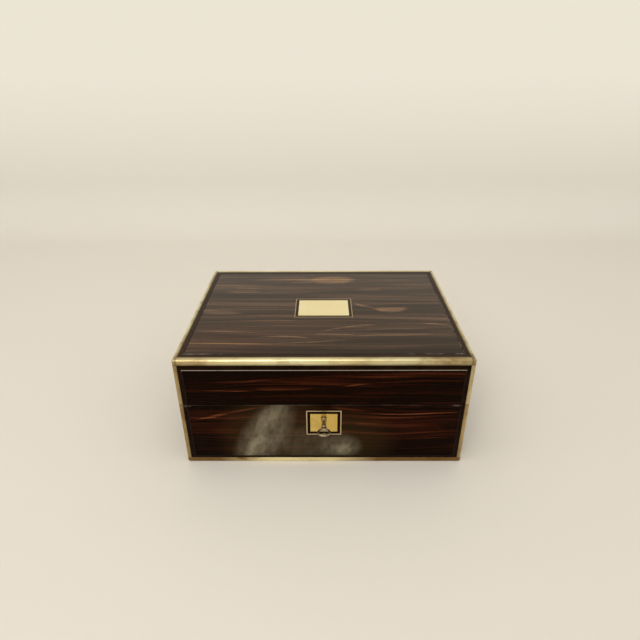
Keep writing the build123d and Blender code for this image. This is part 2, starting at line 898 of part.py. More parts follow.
def glass_box_plans():
    """Middle and half sizes of each glass box: one in each column, one across the front."""
    column = bottle_width / 2
    long_half = row_y() - cross_slat - loose_fit
    side_x = well_x - bay() / 2
    front_half = column_x() - slat - loose_fit
    return [
        (-side_x, 0.0, column, long_half),
        (side_x, 0.0, column, long_half),
        (0.0, -(well_y - bay() / 2), front_half, column),
    ]


def make_glass_box(half_u, half_v):
    outer = block(-half_u, half_u, -half_v, half_v, 0, glass_box_height)
    outer = chamfer(outer.edges().filter_by(Axis.Z), glass_box_edge)
    u = half_u - glass_wall
    v = half_v - glass_wall
    return outer - block(-u, u, -v, v, glass_wall, glass_box_height)


def make_box_lid(half_u, half_v):
    lid = block(-half_u, half_u, -half_v, half_v, 0, box_lid_thickness)
    lid = fillet(lid.faces().sort_by(Axis.Z)[-1].edges(), box_lid_rounding)
    u = half_u - glass_wall - stopper_clearance
    v = half_v - glass_wall - stopper_clearance
    return lid + block(-u, u, -v, v, -box_lid_plug, 0)


def make_fittings():
    bottle = make_bottle()
    cap = make_cap()
    neck_top = well_floor + bottle_body + neck_height
    tops = [Pos(x, y, neck_top) * cap for x, y in bottle_spots()]
    save("glass_bottles", *[Pos(x, y, well_floor) * bottle for x, y in bottle_spots()])
    boxes = []
    for x, y, half_u, half_v in glass_box_plans():
        boxes.append(Pos(x, y, well_floor) * make_glass_box(half_u, half_v))
        tops.append(Pos(x, y, well_floor + glass_box_height) * make_box_lid(half_u, half_v))
    save("glass_boxes", *boxes)
    save("silver_tops", *tops)


# ---- drawer ----
def make_drawer():
    edge = window_y - drawer_gap
    side_y = inner_y - drawer_gap
    side_in = side_y - drawer_side
    back_x = -inner_x + spring_space
    inside_x = back_x + drawer_back
    deck = drawer_low + drawer_floor
    velvet = deck + drawer_velvet
    save("drawer_front_board", block(inner_x, core_x, -edge, edge, drawer_low, drawer_top))
    panel, lines, bands = wall_marquetry(
        right_skin, edge, half_y, drawer_low, drawer_top, line_low=wall_line_foot
    )
    save("drawer_front_veneer", panel)
    save("drawer_stringing", *lines)
    save("drawer_ebony_banding", *bands)
    side_top = drawer_top - drawer_side_drop
    sides = [
        block(back_x, inner_x, s * side_in, s * side_y, drawer_low, side_top) for s in (-1, 1)
    ]
    save("drawer_side_boards", *sides)
    x, y = drop_pin_xy()
    hole = drop_pin_hole(drawer_top - pin_hole_depth, drawer_top + past)
    back = block(back_x, inside_x, -side_in, side_in, drawer_low, drawer_top)
    save("drawer_back_board", back - hole)
    save("drawer_bottom_board", block(inside_x, inner_x, -side_in, side_in, drawer_low, deck))
    pieces = [block(inside_x, inner_x, -side_in, side_in, deck, velvet)]
    pitch = (inner_x - inside_x) / drawer_bays
    half = drawer_divider / 2
    for i in range(1, drawer_bays):
        middle = inside_x + i * pitch
        pieces.append(
            block(
                middle - half, middle + half, -side_in, side_in, velvet, velvet + drawer_divider_height
            )
        )
    save("drawer_lining", *pieces)


def make_drawer_spring():
    """A bowed brass leaf between the left board and the drawer's back."""
    half = spring_length / 2
    rise = spring_space - drawer_gap - spring_thickness
    wall = -inner_x
    face = wall + spring_thickness
    near = ThreePointArc((wall, -half), (wall + rise, 0), (wall, half))
    far = ThreePointArc((face, half), (face + rise, 0), (face, -half))
    ends = Line((wall, half), (face, half)) + Line((face, -half), (wall, -half))
    outline = make_face(near + far + ends)
    middle = (drawer_low + drawer_top) / 2
    leaf = Pos(0, 0, middle) * extrude(outline, amount=spring_width / 2, both=True)
    save("drawer_spring", leaf)


def make_drawer_pin():
    """The drop pin, drawn here lifted clear of the drawer."""
    x, y = drop_pin_xy()
    knob_z = well_top + drop_pin_travel + drawer_gap
    pin = rod(drop_pin_radius, (x, y, dust_z + drop_pin_tip), (x, y, knob_z))
    knob = rod(knob_radius, (x, y, knob_z), (x, y, knob_z + knob_height))
    knob = fillet(knob.edges().filter_by(GeomType.CIRCLE), knob_rounding)
    save("drawer_pin", pin + knob)


# ---- lid fittings ----
def mirror_plan():
    """Half width, front edge and back edge of the mirror's frame."""
    return well_x - mirror_side_gap, -well_y + mirror_front_gap, well_y - mirror_back_gap


def mirror_levels():
    """Underside and top of the mirror's frame."""
    top = ceiling_z - lining
    return top - mirror_frame_thickness, top


def make_mirror():
    half, front, back = mirror_plan()
    low, top = mirror_levels()
    middle = (front + back) / 2
    half_v = (back - front) / 2

    def frame_strip(u0, u1, v0, v1):
        return block(u0, u1, v0, v1, low, top)

    strips = ring_strips(frame_strip, half, half_v, mirror_frame_width, v=middle)
    inset = mirror_frame_width - mirror_rebate
    seat = block(-half + inset, half - inset, front + inset, back - inset, low + mirror_lip, top)
    save("mirror_frame", *without(strips, seat))
    u = half - inset - mirror_clearance
    v0 = front + inset + mirror_clearance
    v1 = back - inset - mirror_clearance
    z = low + mirror_lip
    save("mirror_glass", block(-u, u, v0, v1, z, z + mirror_thickness))


def catch_pivot():
    return mirror_plan()[1] - catch_pivot_gap


def make_lid_lining():
    half, front, back = mirror_plan()
    low, top = mirror_levels()
    foot = lid_z + rim_reveal
    pieces = [block(-inner_x, inner_x, -inner_y, inner_y, top, ceiling_z)]
    for side in (-1, 1):
        pieces.append(block(-inner_x, inner_x, side * well_y, side * inner_y, foot, top))
        pieces.append(block(side * well_x, side * inner_x, -well_y, well_y, foot, top))
    catch_block = block(-catch_block_half_width, catch_block_half_width, -well_y, front, low, top)
    bore = catch_pivot_radius + catch_pivot_clearance
    bore_end = low + catch_pivot_length + catch_gap
    catch_block -= rod(bore, (0, catch_pivot(), low), (0, catch_pivot(), bore_end))
    pieces.append(catch_block)
    cleat_front = back - cleat_overlap
    pieces.append(
        block(-cleat_half_width, cleat_half_width, cleat_front, well_y, low - cleat_thickness, low)
    )
    save("lid_lining", *pieces)


def make_mirror_catch():
    """A brass turn catch: a tapered leaf under the frame's edge, on a pivot in the catch block."""
    low = mirror_levels()[0]
    y = catch_pivot()
    plan = make_hull(
        (Pos(0, y) * Circle(catch_root) + Pos(0, y + catch_reach) * Circle(catch_nose)).edges()
    )
    face = low - catch_gap
    leaf = Pos(0, 0, face - catch_thickness) * extrude(plan, amount=catch_thickness)
    pivot = rod(catch_pivot_radius, (0, y, face), (0, y, low + catch_pivot_length))
    save("mirror_catch", leaf + pivot)


def main():
    os.makedirs("parts", exist_ok=True)
    base_screws = hinge_screws(rim_z, (0, 0, -1)) + lock_screws()
    lid_screws = hinge_screws(lid_z, (0, 0, 1)) + link_screws()
    save("base_screws", *base_screws)
    save("lid_screws", *lid_screws)
    make_binding()
    make_lid_skins()
    make_base_skins()
    make_base_carcase(base_screws)
    make_lid_carcase(lid_screws)
    make_hinges(base_screws, lid_screws)
    make_lock(base_screws)
    make_link_plate(lid_screws)
    make_key()
    make_well()
    make_tray()
    make_tools()
    make_fittings()
    make_drawer()
    make_drawer_spring()
    make_drawer_pin()
    make_mirror()
    make_lid_lining()
    make_mirror_catch()


main()
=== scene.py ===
"""An antique fitted dressing box in coromandel, bound and strung in brass.

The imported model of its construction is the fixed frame. This script gives every piece its finish,
makes the soft linings, silver, glass, mirror and tools, and sets a plain studio round the box.
Lengths are in metres; names that end in _mm, and every pattern's size, are in millimetres.
"""

import json
from math import pi, radians

import bmesh
import bpy
import numpy as np
from mathutils import Matrix, Vector


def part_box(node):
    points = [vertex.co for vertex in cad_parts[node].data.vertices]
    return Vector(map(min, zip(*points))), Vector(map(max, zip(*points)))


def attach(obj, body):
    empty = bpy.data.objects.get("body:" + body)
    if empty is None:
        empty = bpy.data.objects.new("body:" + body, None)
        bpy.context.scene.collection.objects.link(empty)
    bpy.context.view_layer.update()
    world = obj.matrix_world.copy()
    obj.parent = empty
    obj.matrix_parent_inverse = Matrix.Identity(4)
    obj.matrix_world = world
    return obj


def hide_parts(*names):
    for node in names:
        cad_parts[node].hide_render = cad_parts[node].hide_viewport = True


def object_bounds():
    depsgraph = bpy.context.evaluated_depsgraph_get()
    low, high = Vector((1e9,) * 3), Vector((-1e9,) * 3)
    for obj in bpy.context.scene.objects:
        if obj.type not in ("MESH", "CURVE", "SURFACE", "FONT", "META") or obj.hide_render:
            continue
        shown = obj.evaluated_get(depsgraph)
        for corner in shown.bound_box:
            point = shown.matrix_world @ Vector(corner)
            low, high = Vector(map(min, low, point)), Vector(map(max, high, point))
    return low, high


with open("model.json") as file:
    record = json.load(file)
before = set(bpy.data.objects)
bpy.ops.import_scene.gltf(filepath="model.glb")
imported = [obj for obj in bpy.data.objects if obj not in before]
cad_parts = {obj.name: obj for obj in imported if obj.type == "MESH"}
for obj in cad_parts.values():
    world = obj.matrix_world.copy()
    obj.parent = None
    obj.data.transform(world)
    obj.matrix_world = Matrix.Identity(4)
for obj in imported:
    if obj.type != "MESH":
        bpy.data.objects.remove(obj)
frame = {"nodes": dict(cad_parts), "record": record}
CAD_LOW, CAD_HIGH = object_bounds()
NODES = frame["nodes"]

bl_info = {
    "name": "Coromandel dressing box",
    "version": (1, 0, 0),
    "blender": (4, 5, 0),
    "location": "3D View > Sidebar > Dressing Box",
    "description": "Finishes, linings and fittings of an antique brass-bound dressing box",
    "category": "Object",
}

MM = 0.001

# Kinds of shader node. Where an input goes by its number, a Map Range has its value at 0, the range
# it comes from at 1 and 2 and the range it goes to at 3 and 4. A Mix has its share at 0, numbers at
# 2 and 3, and colours at 6 and 7.
MATH = "ShaderNodeMath"
VECTOR = "ShaderNodeVectorMath"
MIX = "ShaderNodeMix"
NOISE = "ShaderNodeTexNoise"
CELLS = "ShaderNodeTexVoronoi"
RAMP = "ShaderNodeValToRGB"
RANGE = "ShaderNodeMapRange"
SPLIT = "ShaderNodeSeparateXYZ"
JOIN = "ShaderNodeCombineXYZ"
TURN = "ShaderNodeMapping"
BUMP = "ShaderNodeBump"
GROUP = "ShaderNodeGroup"

# Boards, partitions and pitches of the fitted interior, as the construction has them.
LINING = 1.0 * MM
SLAT = 3.0 * MM
CROSS_SLAT = 6.0 * MM
BOTTLE_BAY = 44.0 * MM
TRAY_BOARD = 3.0 * MM
TOOL_BAY = 80.0 * MM
TOOL_PITCH = 27.0 * MM
TOOL_COUNT = 6
GROOVE_RADIUS = 3.6 * MM
FRAME_WIDTH = 12.0 * MM
FRAME_REBATE = 3.0 * MM
FRAME_LIP = 1.5 * MM
DRAWER_DIVIDER = 2.5 * MM
DRAWER_VELVET = 1.2 * MM

# Where the brass binding begins on each axis, and the rim that the lid closes on.
BINDING_X = 148.0 * MM
BINDING_Y = 109.2 * MM
BINDING_Z = 128.7 * MM
RIM_TOP = 79.4 * MM

# A bottle's width, its shoulder over the rim, corner and shoulder bevels, neck, bore and foot, and
# the flutes that are ground into each of its sides.
BOTTLE_WIDTH = 42.0 * MM
BOTTLE_PROUD = 6.6 * MM
BOTTLE_EDGE = 3.0 * MM
BOTTLE_BEVEL = 5.0 * MM
BOTTLE_NECK = 15.0 * MM
BOTTLE_BORE = 13.0 * MM
BOTTLE_FOOT = 6.0 * MM
FLUTES = 6
FLUTE_DEPTH = 0.9 * MM

# The lamps: place, and side of the square that gives the light.
CEILING_PLACE = (-0.15, -0.25, 1.9)
CEILING_SIZE = 1.5
WINDOW_PLACE = (-0.42, -1.15, 0.98)
WINDOW_SIZE = 0.42

# The camera of the photograph, fitted to the box's corners and its lid joint.
CAMERA_PLACE = Vector((-0.56, -529.94, 404.49)) * MM
CAMERA_DOWN = radians(28.376)
CAMERA_LEFT = radians(0.415)
CAMERA_ROLL = radians(0.298)
LENS_MM = 27.88
SENSOR_MM = 36.0

# Streaks that stand out in the veneer: middle along and across the grain, half length and half
# width (mm), slope, bend (per mm) and strength. Across is +Y on the lid's top and +Z on the front.
# A negative strength is a dark streak.
TOP_FIGURE = (
    (11, 82, 37, 15, 0.05, 0.0, 0.5),
    (-24, 76, 26, 6, 0.12, 0.0, 0.4),
    (-52, 82, 54, 7.5, 0.03, 0.0, 0.26),
    (-48, 74, 34, 2.2, 0.03, 0.0, 0.22),
    (-108, 74, 60, 14, 0.06, 0.0, 0.1),
    (-101, 46, 26, 6.5, 0.02, 0.0, 0.2),
    (-98, 57, 24, 2.4, 0.0, 0.0, 0.18),
    (-122, -12, 30, 6.0, -0.12, 0.0, 0.24),
    (79, -5.5, 25, 7.5, 0.0, 0.008, 0.56),
    (51, 3.5, 17, 4.0, -0.5, 0.004, 0.4),
    (102, 4.5, 10, 1.6, 0.4, 0.0, 0.2),
    (-62, -20, 56, 1.3, 0.0, 0.0, 0.2),
    (-66, -31.5, 44, 1.2, 0.0, 0.0, 0.3),
    (-45, -45, 80, 1.5, 0.03, 0.0, 0.16),
    (-60, -51, 60, 1.2, -0.02, 0.0, 0.14),
    (28, -46.5, 38, 1.8, 0.24, -0.003, 0.34),
    (75, -52.5, 54, 1.4, 0.03, 0.0, 0.3),
    (92, -38.5, 36, 1.4, 0.0, 0.0, 0.22),
    (126, -41, 26, 2.0, -0.2, -0.002, 0.32),
    (12, -64, 26, 1.8, -0.02, 0.0, 0.3),
    (78, -64.5, 50, 1.3, 0.05, 0.0, 0.2),
    (-44, -68.5, 34, 1.8, 0.0, -0.003, 0.4),
    (-76, -73, 40, 1.2, 0.0, 0.0, 0.2),
    (-90, -82.8, 78, 1.3, 0.0, 0.0, 0.4),
    (-6, -79, 44, 1.3, 0.08, 0.0, 0.32),
    (12, -77, 18, 1.6, 0.0, 0.0, 0.3),
    (-104, -57, 44, 1.2, 0.0, 0.0, 0.16),
    (60, -88, 80, 1.5, 0.0, 0.0, 0.14),
    (85, -76, 60, 1.3, 0.0, 0.0, 0.14),
    (58, 51, 20, 5.0, 0.05, 0.0, 0.18),
    (128, 36.5, 30, 1.8, -0.03, 0.0, 0.22),
    (100, 78, 50, 5.0, -0.04, 0.0, 0.1),
    (0, 104, 400, 14, 0.0, 0.0, -0.24),
    (-122, 94, 66, 12, 0.02, 0.0, -0.14),
    (0, -103, 400, 12, 0.0, 0.0, -0.16),
    (-70, 26, 90, 15, 0.0, 0.0, -0.1),
    (112, 6, 50, 5, 0.0, 0.0, -0.12),
    (-70, -63, 90, 3.0, 0.02, 0.0, -0.12),
    (60, -58, 80, 2.4, 0.0, 0.0, -0.12),
)
FRONT_FIGURE = (
    (-92, 109.5, 70, 1.6, 0.066, 0.0, 0.26),
    (-112, 118.6, 24, 0.8, 0.0, 0.0, 0.3),
    (-98, 97.6, 32, 1.1, -0.015, 0.0, 0.34),
    (-120, 91, 34, 0.9, 0.0, 0.0, 0.14),
    (-42, 100.5, 36, 3.0, 0.02, 0.0, 0.26),
    (-5, 88.5, 90, 5.5, 0.01, 0.0, 0.17),
    (30, 114, 80, 4.0, 0.02, 0.0, 0.12),
    (34, 104.6, 20, 1.1, 0.16, 0.0, 0.3),
    (96, 109.8, 60, 1.4, 0.03, -0.0003, 0.36),
    (52, 94.5, 34, 2.2, 0.02, 0.0, 0.22),
    (96, 94.5, 24, 0.9, 0.02, 0.0, 0.24),
    (124, 82, 32, 1.4, 0.04, 0.0, 0.3),
    (36, 83, 16, 1.2, 0.0, 0.0, 0.18),
    (-98, 69.5, 56, 1.8, 0.24, -0.0008, 0.36),
    (-118, 70, 20, 1.0, 0.1, 0.0, 0.12),
    (-106, 47, 30, 8, 0.1, 0.0, 0.08),
    (28, 74, 26, 2.2, -0.12, 0.0, 0.3),
    (100, 67.2, 60, 1.3, 0.02, 0.0009, 0.34),
    (80, 76.4, 30, 0.8, 0.0, 0.0, 0.28),
    (132, 76, 24, 0.8, 0.02, 0.0, 0.22),
    (56, 53, 26, 8, 0.0, 0.0, 0.1),
    (98, 48, 40, 8, -0.05, 0.0, 0.13),
    (112, 34, 34, 0.9, 0.0, 0.0, 0.16),
    (-125, 92, 60, 4.0, 0.0, 0.0, -0.12),
    (-120, 103, 60, 3.4, 0.04, 0.0, -0.12),
    (20, 99, 60, 3.0, 0.04, 0.0, -0.1),
    (110, 102, 60, 4.0, 0.02, 0.0, -0.1),
    (110, 18, 60, 10, 0.0, 0.0, -0.1),
    (-130, 28, 34, 22, 0.0, 0.0, -0.16),
    (-128, 58, 30, 4, 0.1, 0.0, -0.12),
)
# Patches: middle along and up or across the grain, half length and half height (mm), lean and
# strength. On the front a reflection of the window lamp is painted into the colour as a milky veil
# in a leaning band, with an olive fringe of the same painted reflection round it; at the ends of the
# joint the shellac is worn through. The top is redder towards its front left corner.
PAINTED_REFLECTION_PATCHES = (
    (-75, 20, 13, 20, 0.42, 0.46),
    (-69, 46, 11, 34, 0.42, 0.26),
    (-54, 66, 17, 24, 0.42, 0.26),
    (-65, 36, 32, 58, 0.42, 0.42),
    (22, 19, 12, 10, 0.0, 0.36),
    (19, 22, 27, 20, 0.0, 0.32),
    (-15, 24, 60, 32, 0.0, 0.17),
)
REFLECTION_FRINGE_PATCHES = (
    (-57, 42, 66, 84, 0.2, 0.8),
    (18, 30, 70, 52, 0.0, 0.8),
)
RED_PATCHES = (
    (-112, -82, 90, 44, 0.0, 0.9),
    (-30, -44, 120, 26, 0.0, 0.45),
)
JOINT_WEAR = (
    (-146.5, 78.6, 3.4, 2.6, 0.0, 0.8),
    (-141.5, 78.2, 2.6, 1.2, 0.0, 0.6),
    (140.5, 79.4, 5.0, 2.4, 0.0, 0.7),
    (136.0, 78.6, 3.0, 1.4, 0.0, 0.6),
)
# Inlaid lines rubbed brighter or left duller than the rest: two corners (mm), a level and a colour. On
# the front the level line under the top edge is painted bright as a highlight of the light from above,
# and the other lines there are painted dark as lines in shade.
LINE_ZONES_LIT_AND_WORN = (
    ((-160, -116, 0), (160, -114, 136), 0.12, "8A8074"),
    ((-145, -116, 122.2), (145, -114, 126), 0.8, "A39A8E"),
    ((-20, -116, 36), (20, -114, 75), 0.9, "CDB898"),
    ((-160, -116, 134), (160, 116, 136), 0.12, "8A8074"),
    ((-40, -30, 134), (40, 30, 136), 0.85, "A99678"),
    ((-146, -107, 134), (-104, -101, 136), 0.44, "B4ACA0"),
    ((86, -107, 134), (146, -101, 136), 0.4, "B4ACA0"),
    ((134, -107, 134), (146, -101, 136), 0.56, "C9C2B8"),
    ((141, -107, 134), (146, 40, 136), 0.42, "9A9184"),
)


# ---- colours and shader nodes ----
def linear(colour, alpha=1.0):
    """Linear colour of an sRGB hex value such as "8A5A32"."""
    parts = (int(colour[i : i + 2], 16) / 255 for i in (0, 2, 4))
    return tuple(c / 12.92 if c <= 0.04045 else ((c + 0.055) / 1.055) ** 2.4 for c in parts) + (alpha,)


def feed(tree, node, inputs):
    """Set a node's inputs to values, or link them from sockets or from other nodes' first outputs."""
    for key, value in inputs.items():
        if isinstance(value, bpy.types.Node):
            value = next(out for out in value.outputs if out.enabled)
        if isinstance(value, bpy.types.NodeSocket):
            tree.links.new(value, node.inputs[key])
        else:
            node.inputs[key].default_value = value


def add(tree, kind, inputs=None, stops=None, **settings):
    """Add a node with its settings and its inputs; stops are a ramp's places and hex colours."""
    node = tree.nodes.new(kind)
    for name, value in settings.items():
        setattr(node, name, value)
    if stops:
        for _ in stops[2:]:
            node.color_ramp.elements.new(1.0)
        for element, (place, colour) in zip(node.color_ramp.elements, stops):
            element.position = place
            element.color = linear(colour)
    feed(tree, node, inputs or {})
    return node


def material(name, finish):
    """A material whose principled shader takes the inputs that finish(tree) works out."""
    made = bpy.data.materials.new(name)
    made.use_nodes = True
    tree = made.node_tree
    feed(tree, tree.nodes["Principled BSDF"], finish(tree))
    return made


def place_mm(tree, order="XYZ"):
    """The place on the object in millimetres, its axes named as along, across and through."""
    coordinates = add(tree, "ShaderNodeTexCoord").outputs["Object"]
    parts = add(tree, SPLIT, {0: coordinates})
    ordered = add(tree, JOIN, {i: parts.outputs[axis] for i, axis in enumerate(order)})
    return add(tree, VECTOR, {0: ordered, "Scale": 1 / MM}, operation="SCALE")


def blots(tree, place, sizes, detail=2.0, roughness=0.5):
    """Noise from 0 to 1 whose blots measure about these sizes (mm) along, across and through."""
    shrunk = add(tree, VECTOR, {0: place, 1: sizes}, operation="DIVIDE")
    return add(tree, NOISE, {"Vector": shrunk, "Scale": 1.0, "Detail": detail, "Roughness": roughness})


def within(tree, place, low, high):
    """1 inside the block between two corners (mm), and 0 outside it."""
    above = add(tree, VECTOR, {0: place, 1: low}, operation="SUBTRACT")
    below = add(tree, VECTOR, {0: high, 1: place}, operation="SUBTRACT")
    least = add(tree, VECTOR, {0: above, 1: below}, operation="MINIMUM")
    parts = add(tree, SPLIT, {0: least}).outputs
    flat = add(tree, MATH, {0: parts["X"], 1: parts["Y"]}, operation="MINIMUM")
    all_three = add(tree, MATH, {0: flat, 1: parts["Z"]}, operation="MINIMUM")
    return add(tree, MATH, {0: all_three, 1: 0.0}, operation="GREATER_THAN")


def sway(tree, place, reach, length, width):
    """The place pushed across the grain by up to the reach, in waves of this length and width."""
    wave = blots(tree, place, (length, width, width), detail=1.0)
    middle = add(tree, MATH, {0: wave, 1: 0.5}, operation="SUBTRACT")
    push = add(tree, MATH, {0: middle, 1: reach * 4}, operation="MULTIPLY")
    shift = add(tree, JOIN, {1: push})
    return add(tree, VECTOR, {0: place, 1: shift}, operation="ADD")


def looked_at(tree):
    """1 for rays from the eye, straight, off something glossy or through glass, and 0 for the rest."""
    seen = add(tree, "ShaderNodeLightPath").outputs
    direct = {0: seen["Is Camera Ray"], 1: seen["Is Glossy Ray"]}
    either = add(tree, MATH, direct, operation="MAXIMUM")
    return add(tree, MATH, {0: either, 1: seen["Is Transmission Ray"]}, operation="MAXIMUM")


# ---- finishes ----
def streak_group():
    """A node group for one long curved lens of figure in veneer.

    With u along and v across the grain from the lens's middle, and v less its slope times u and
    its bend times u squared, it gives a smooth step of 1 - (u / half length) squared
    - (v / half width) squared."""
    group = bpy.data.node_groups.new("veneer_streak", "ShaderNodeTree")
    group.interface.new_socket(name="Place", in_out="INPUT", socket_type="NodeSocketVector")
    for name in ("Along", "Across", "Half Length", "Half Width", "Slope", "Bend", "Strength"):
        group.interface.new_socket(name=name, in_out="INPUT", socket_type="NodeSocketFloat")
    group.interface.new_socket(name="Streak", in_out="OUTPUT", socket_type="NodeSocketFloat")
    start = add(group, "NodeGroupInput").outputs
    end = add(group, "NodeGroupOutput")
    parts = add(group, SPLIT, {0: start["Place"]}).outputs
    u = add(group, MATH, {0: parts["X"], 1: start["Along"]}, operation="SUBTRACT")
    v = add(group, MATH, {0: parts["Y"], 1: start["Across"]}, operation="SUBTRACT")
    bent = add(group, MATH, {0: u, 1: start["Bend"], 2: start["Slope"]}, operation="MULTIPLY_ADD")
    lean = add(group, MATH, {0: u, 1: bent}, operation="MULTIPLY")
    level = add(group, MATH, {0: v, 1: lean}, operation="SUBTRACT")
    far = add(group, MATH, {0: u, 1: start["Half Length"]}, operation="DIVIDE")
    end_fade = add(group, MATH, {0: far, 1: far}, operation="MULTIPLY")
    wide = add(group, MATH, {0: level, 1: start["Half Width"]}, operation="DIVIDE")
    side_fade = add(group, MATH, {0: wide, 1: wide}, operation="MULTIPLY")
    fade = add(group, MATH, {0: end_fade, 1: side_fade}, operation="ADD")
    inside = add(group, RANGE, {0: fade, 1: 1.0, 2: 0.3, 3: 0.0, 4: 1.0}, interpolation_type="SMOOTHSTEP")
    streak = add(group, MATH, {0: inside, 1: start["Strength"]}, operation="MULTIPLY")
    feed(group, end, {0: streak})
    return group


def lenses(tree, place, figure):
    """The strongest streak of the figure at each place, or 0."""
    strongest = add(tree, "ShaderNodeValue")
    strongest.outputs[0].default_value = 0.0
    for along, across, half_length, half_width, slope, bend, strength in figure:
        streak = add(tree, GROUP, node_tree=bpy.data.node_groups["veneer_streak"])
        feed(tree, streak, {"Place": place, "Along": along, "Across": across})
        feed(tree, streak, {"Half Length": half_length, "Half Width": half_width})
        feed(tree, streak, {"Slope": slope, "Bend": bend, "Strength": abs(strength)})
        strongest = add(tree, MATH, {0: strongest, 1: streak}, operation="MAXIMUM")
    return strongest


def patches(tree, place, marks):
    """Soft oval patches, added up: each is its strength times a smooth step of 1 less the squares of
    the distances along, less the lean times the height, and across, each over its half size."""
    parts = add(tree, SPLIT, {0: place}).outputs
    total = 0.0
    for along, up, half_length, half_height, lean, strength in marks:
        v = add(tree, MATH, {0: parts["Y"], 1: up}, operation="SUBTRACT")
        u = add(tree, MATH, {0: parts["X"], 1: along}, operation="SUBTRACT")
        leaned = add(tree, MATH, {0: v, 1: -lean, 2: u}, operation="MULTIPLY_ADD")
        flat = add(tree, JOIN, {0: leaned, 1: v})
        share = add(tree, VECTOR, {0: flat, 1: (half_length, half_height, 1)}, operation="DIVIDE")
        far = add(tree, VECTOR, {0: share, 1: share}, operation="DOT_PRODUCT").outputs["Value"]
        soft = {0: far, 1: 1.0, 2: 0.0, 3: 0.0, 4: strength}
        patch = add(tree, RANGE, soft, interpolation_type="SMOOTHSTEP")
        total = add(tree, MATH, {0: patch, 1: total}, operation="ADD", use_clamp=True)
    return total


def tinted_in_patches(tree, place, colour, patch_tints):
    """The colour drawn towards each patch tint in soft patches, by a most share each: on the top the
    wood's own redder tone, on the base's front the greenish-brown fringe of a painted reflection.
    """
    for marks, patch_tint, most in patch_tints:
        share = add(tree, MATH, {0: patches(tree, place, marks), 1: most}, operation="MULTIPLY")
        colour = add(tree, MIX, {0: share, 6: colour, 7: linear(patch_tint)}, data_type="RGBA")
    return colour


def coromandel(tree, order, figure, tones, shift, patch_tints=(), reflection_painted=False):
    """French-polished coromandel: near-black ebony with hazel streaks that wander along the grain.

    Broad bands, streaks and fine lines are noise stretched along the grain, and the streaks that
    stand out are laid over them. Shellac gives a soft, clear gloss with hardly any pore left. The
    shift (mm) is where in the noise the leaf is cut from."""
    place = place_mm(tree, order)
    moved = add(tree, VECTOR, {0: place, 1: (shift, shift, shift)}, operation="ADD")
    wandering = sway(tree, moved, 5.0, 170, 42)
    calm = sway(tree, sway(tree, place, 1.1, 60, 12), 0.35, 26, 2.4)
    bands = blots(tree, wandering, (330, 17, 17), detail=1.0)
    streaks = blots(tree, wandering, (200, 4.0, 4.0), detail=2.0)
    lines = blots(tree, wandering, (130, 1.7, 1.7), detail=1.0)
    broad = add(tree, RANGE, {0: bands, 1: 0.34, 2: 0.66, 3: 0.0, 4: 0.26})
    middle = add(tree, RANGE, {0: streaks, 1: 0.36, 2: 0.66, 3: 0.0, 4: 0.32})
    fine = add(tree, RANGE, {0: lines, 1: 0.38, 2: 0.64, 3: 0.0, 4: 0.44})
    gathered = add(tree, RANGE, {0: bands, 1: 0.36, 2: 0.62, 3: 0.5, 4: 1.25})
    detail = add(tree, MATH, {0: middle, 1: fine}, operation="ADD")
    field = add(tree, MATH, {0: detail, 1: gathered, 2: broad}, operation="MULTIPLY_ADD")
    light = lenses(tree, calm, [streak for streak in figure if streak[-1] > 0])
    dark = lenses(tree, calm, [streak for streak in figure if streak[-1] < 0])
    fibre = add(tree, RANGE, {0: lines, 1: 0.34, 2: 0.66, 3: 0.75, 4: 1.1})
    lit = add(tree, MATH, {0: light, 1: fibre}, operation="MULTIPLY")
    strong = add(tree, MATH, {0: field, 1: 0.6, 2: -0.03}, operation="MULTIPLY_ADD", use_clamp=True)
    lighter = add(tree, MATH, {0: strong, 1: lit}, operation="ADD")
    shade = add(tree, MATH, {0: lighter, 1: dark}, operation="SUBTRACT", use_clamp=True)
    colour = add(tree, RAMP, {0: shade}, stops=tuple(zip((0.0, 0.25, 0.55, 1.0), tones)))
    pits = blots(tree, wandering, (8, 0.6, 0.6), detail=0.0)
    pores = add(tree, RANGE, {0: pits, 1: 0.6, 2: 0.74, 3: 0.0, 4: 0.4})
    colour = add(tree, MIX, {0: pores, 6: colour, 7: linear("0B0605")}, data_type="RGBA")
    handled = blots(tree, place, (45, 30, 30), detail=3.0)
    rough = add(tree, RANGE, {0: handled, 1: 0.3, 2: 0.75, 3: 0.15, 4: 0.24})
    colour = tinted_in_patches(tree, place, colour, patch_tints)
    # On the base's front, paint a reflection of the window lamp and a highlight along the edge under the
    # joint.
    if reflection_painted:
        colour, rough = bloom(tree, place, colour, rough)
    ripple = blots(tree, wandering, (60, 5, 5), detail=2.0)
    bump = add(tree, BUMP, {"Height": ripple, "Strength": 0.25, "Distance": 0.05 * MM})
    return {"Base Color": colour, "Roughness": rough, "Normal": bump}


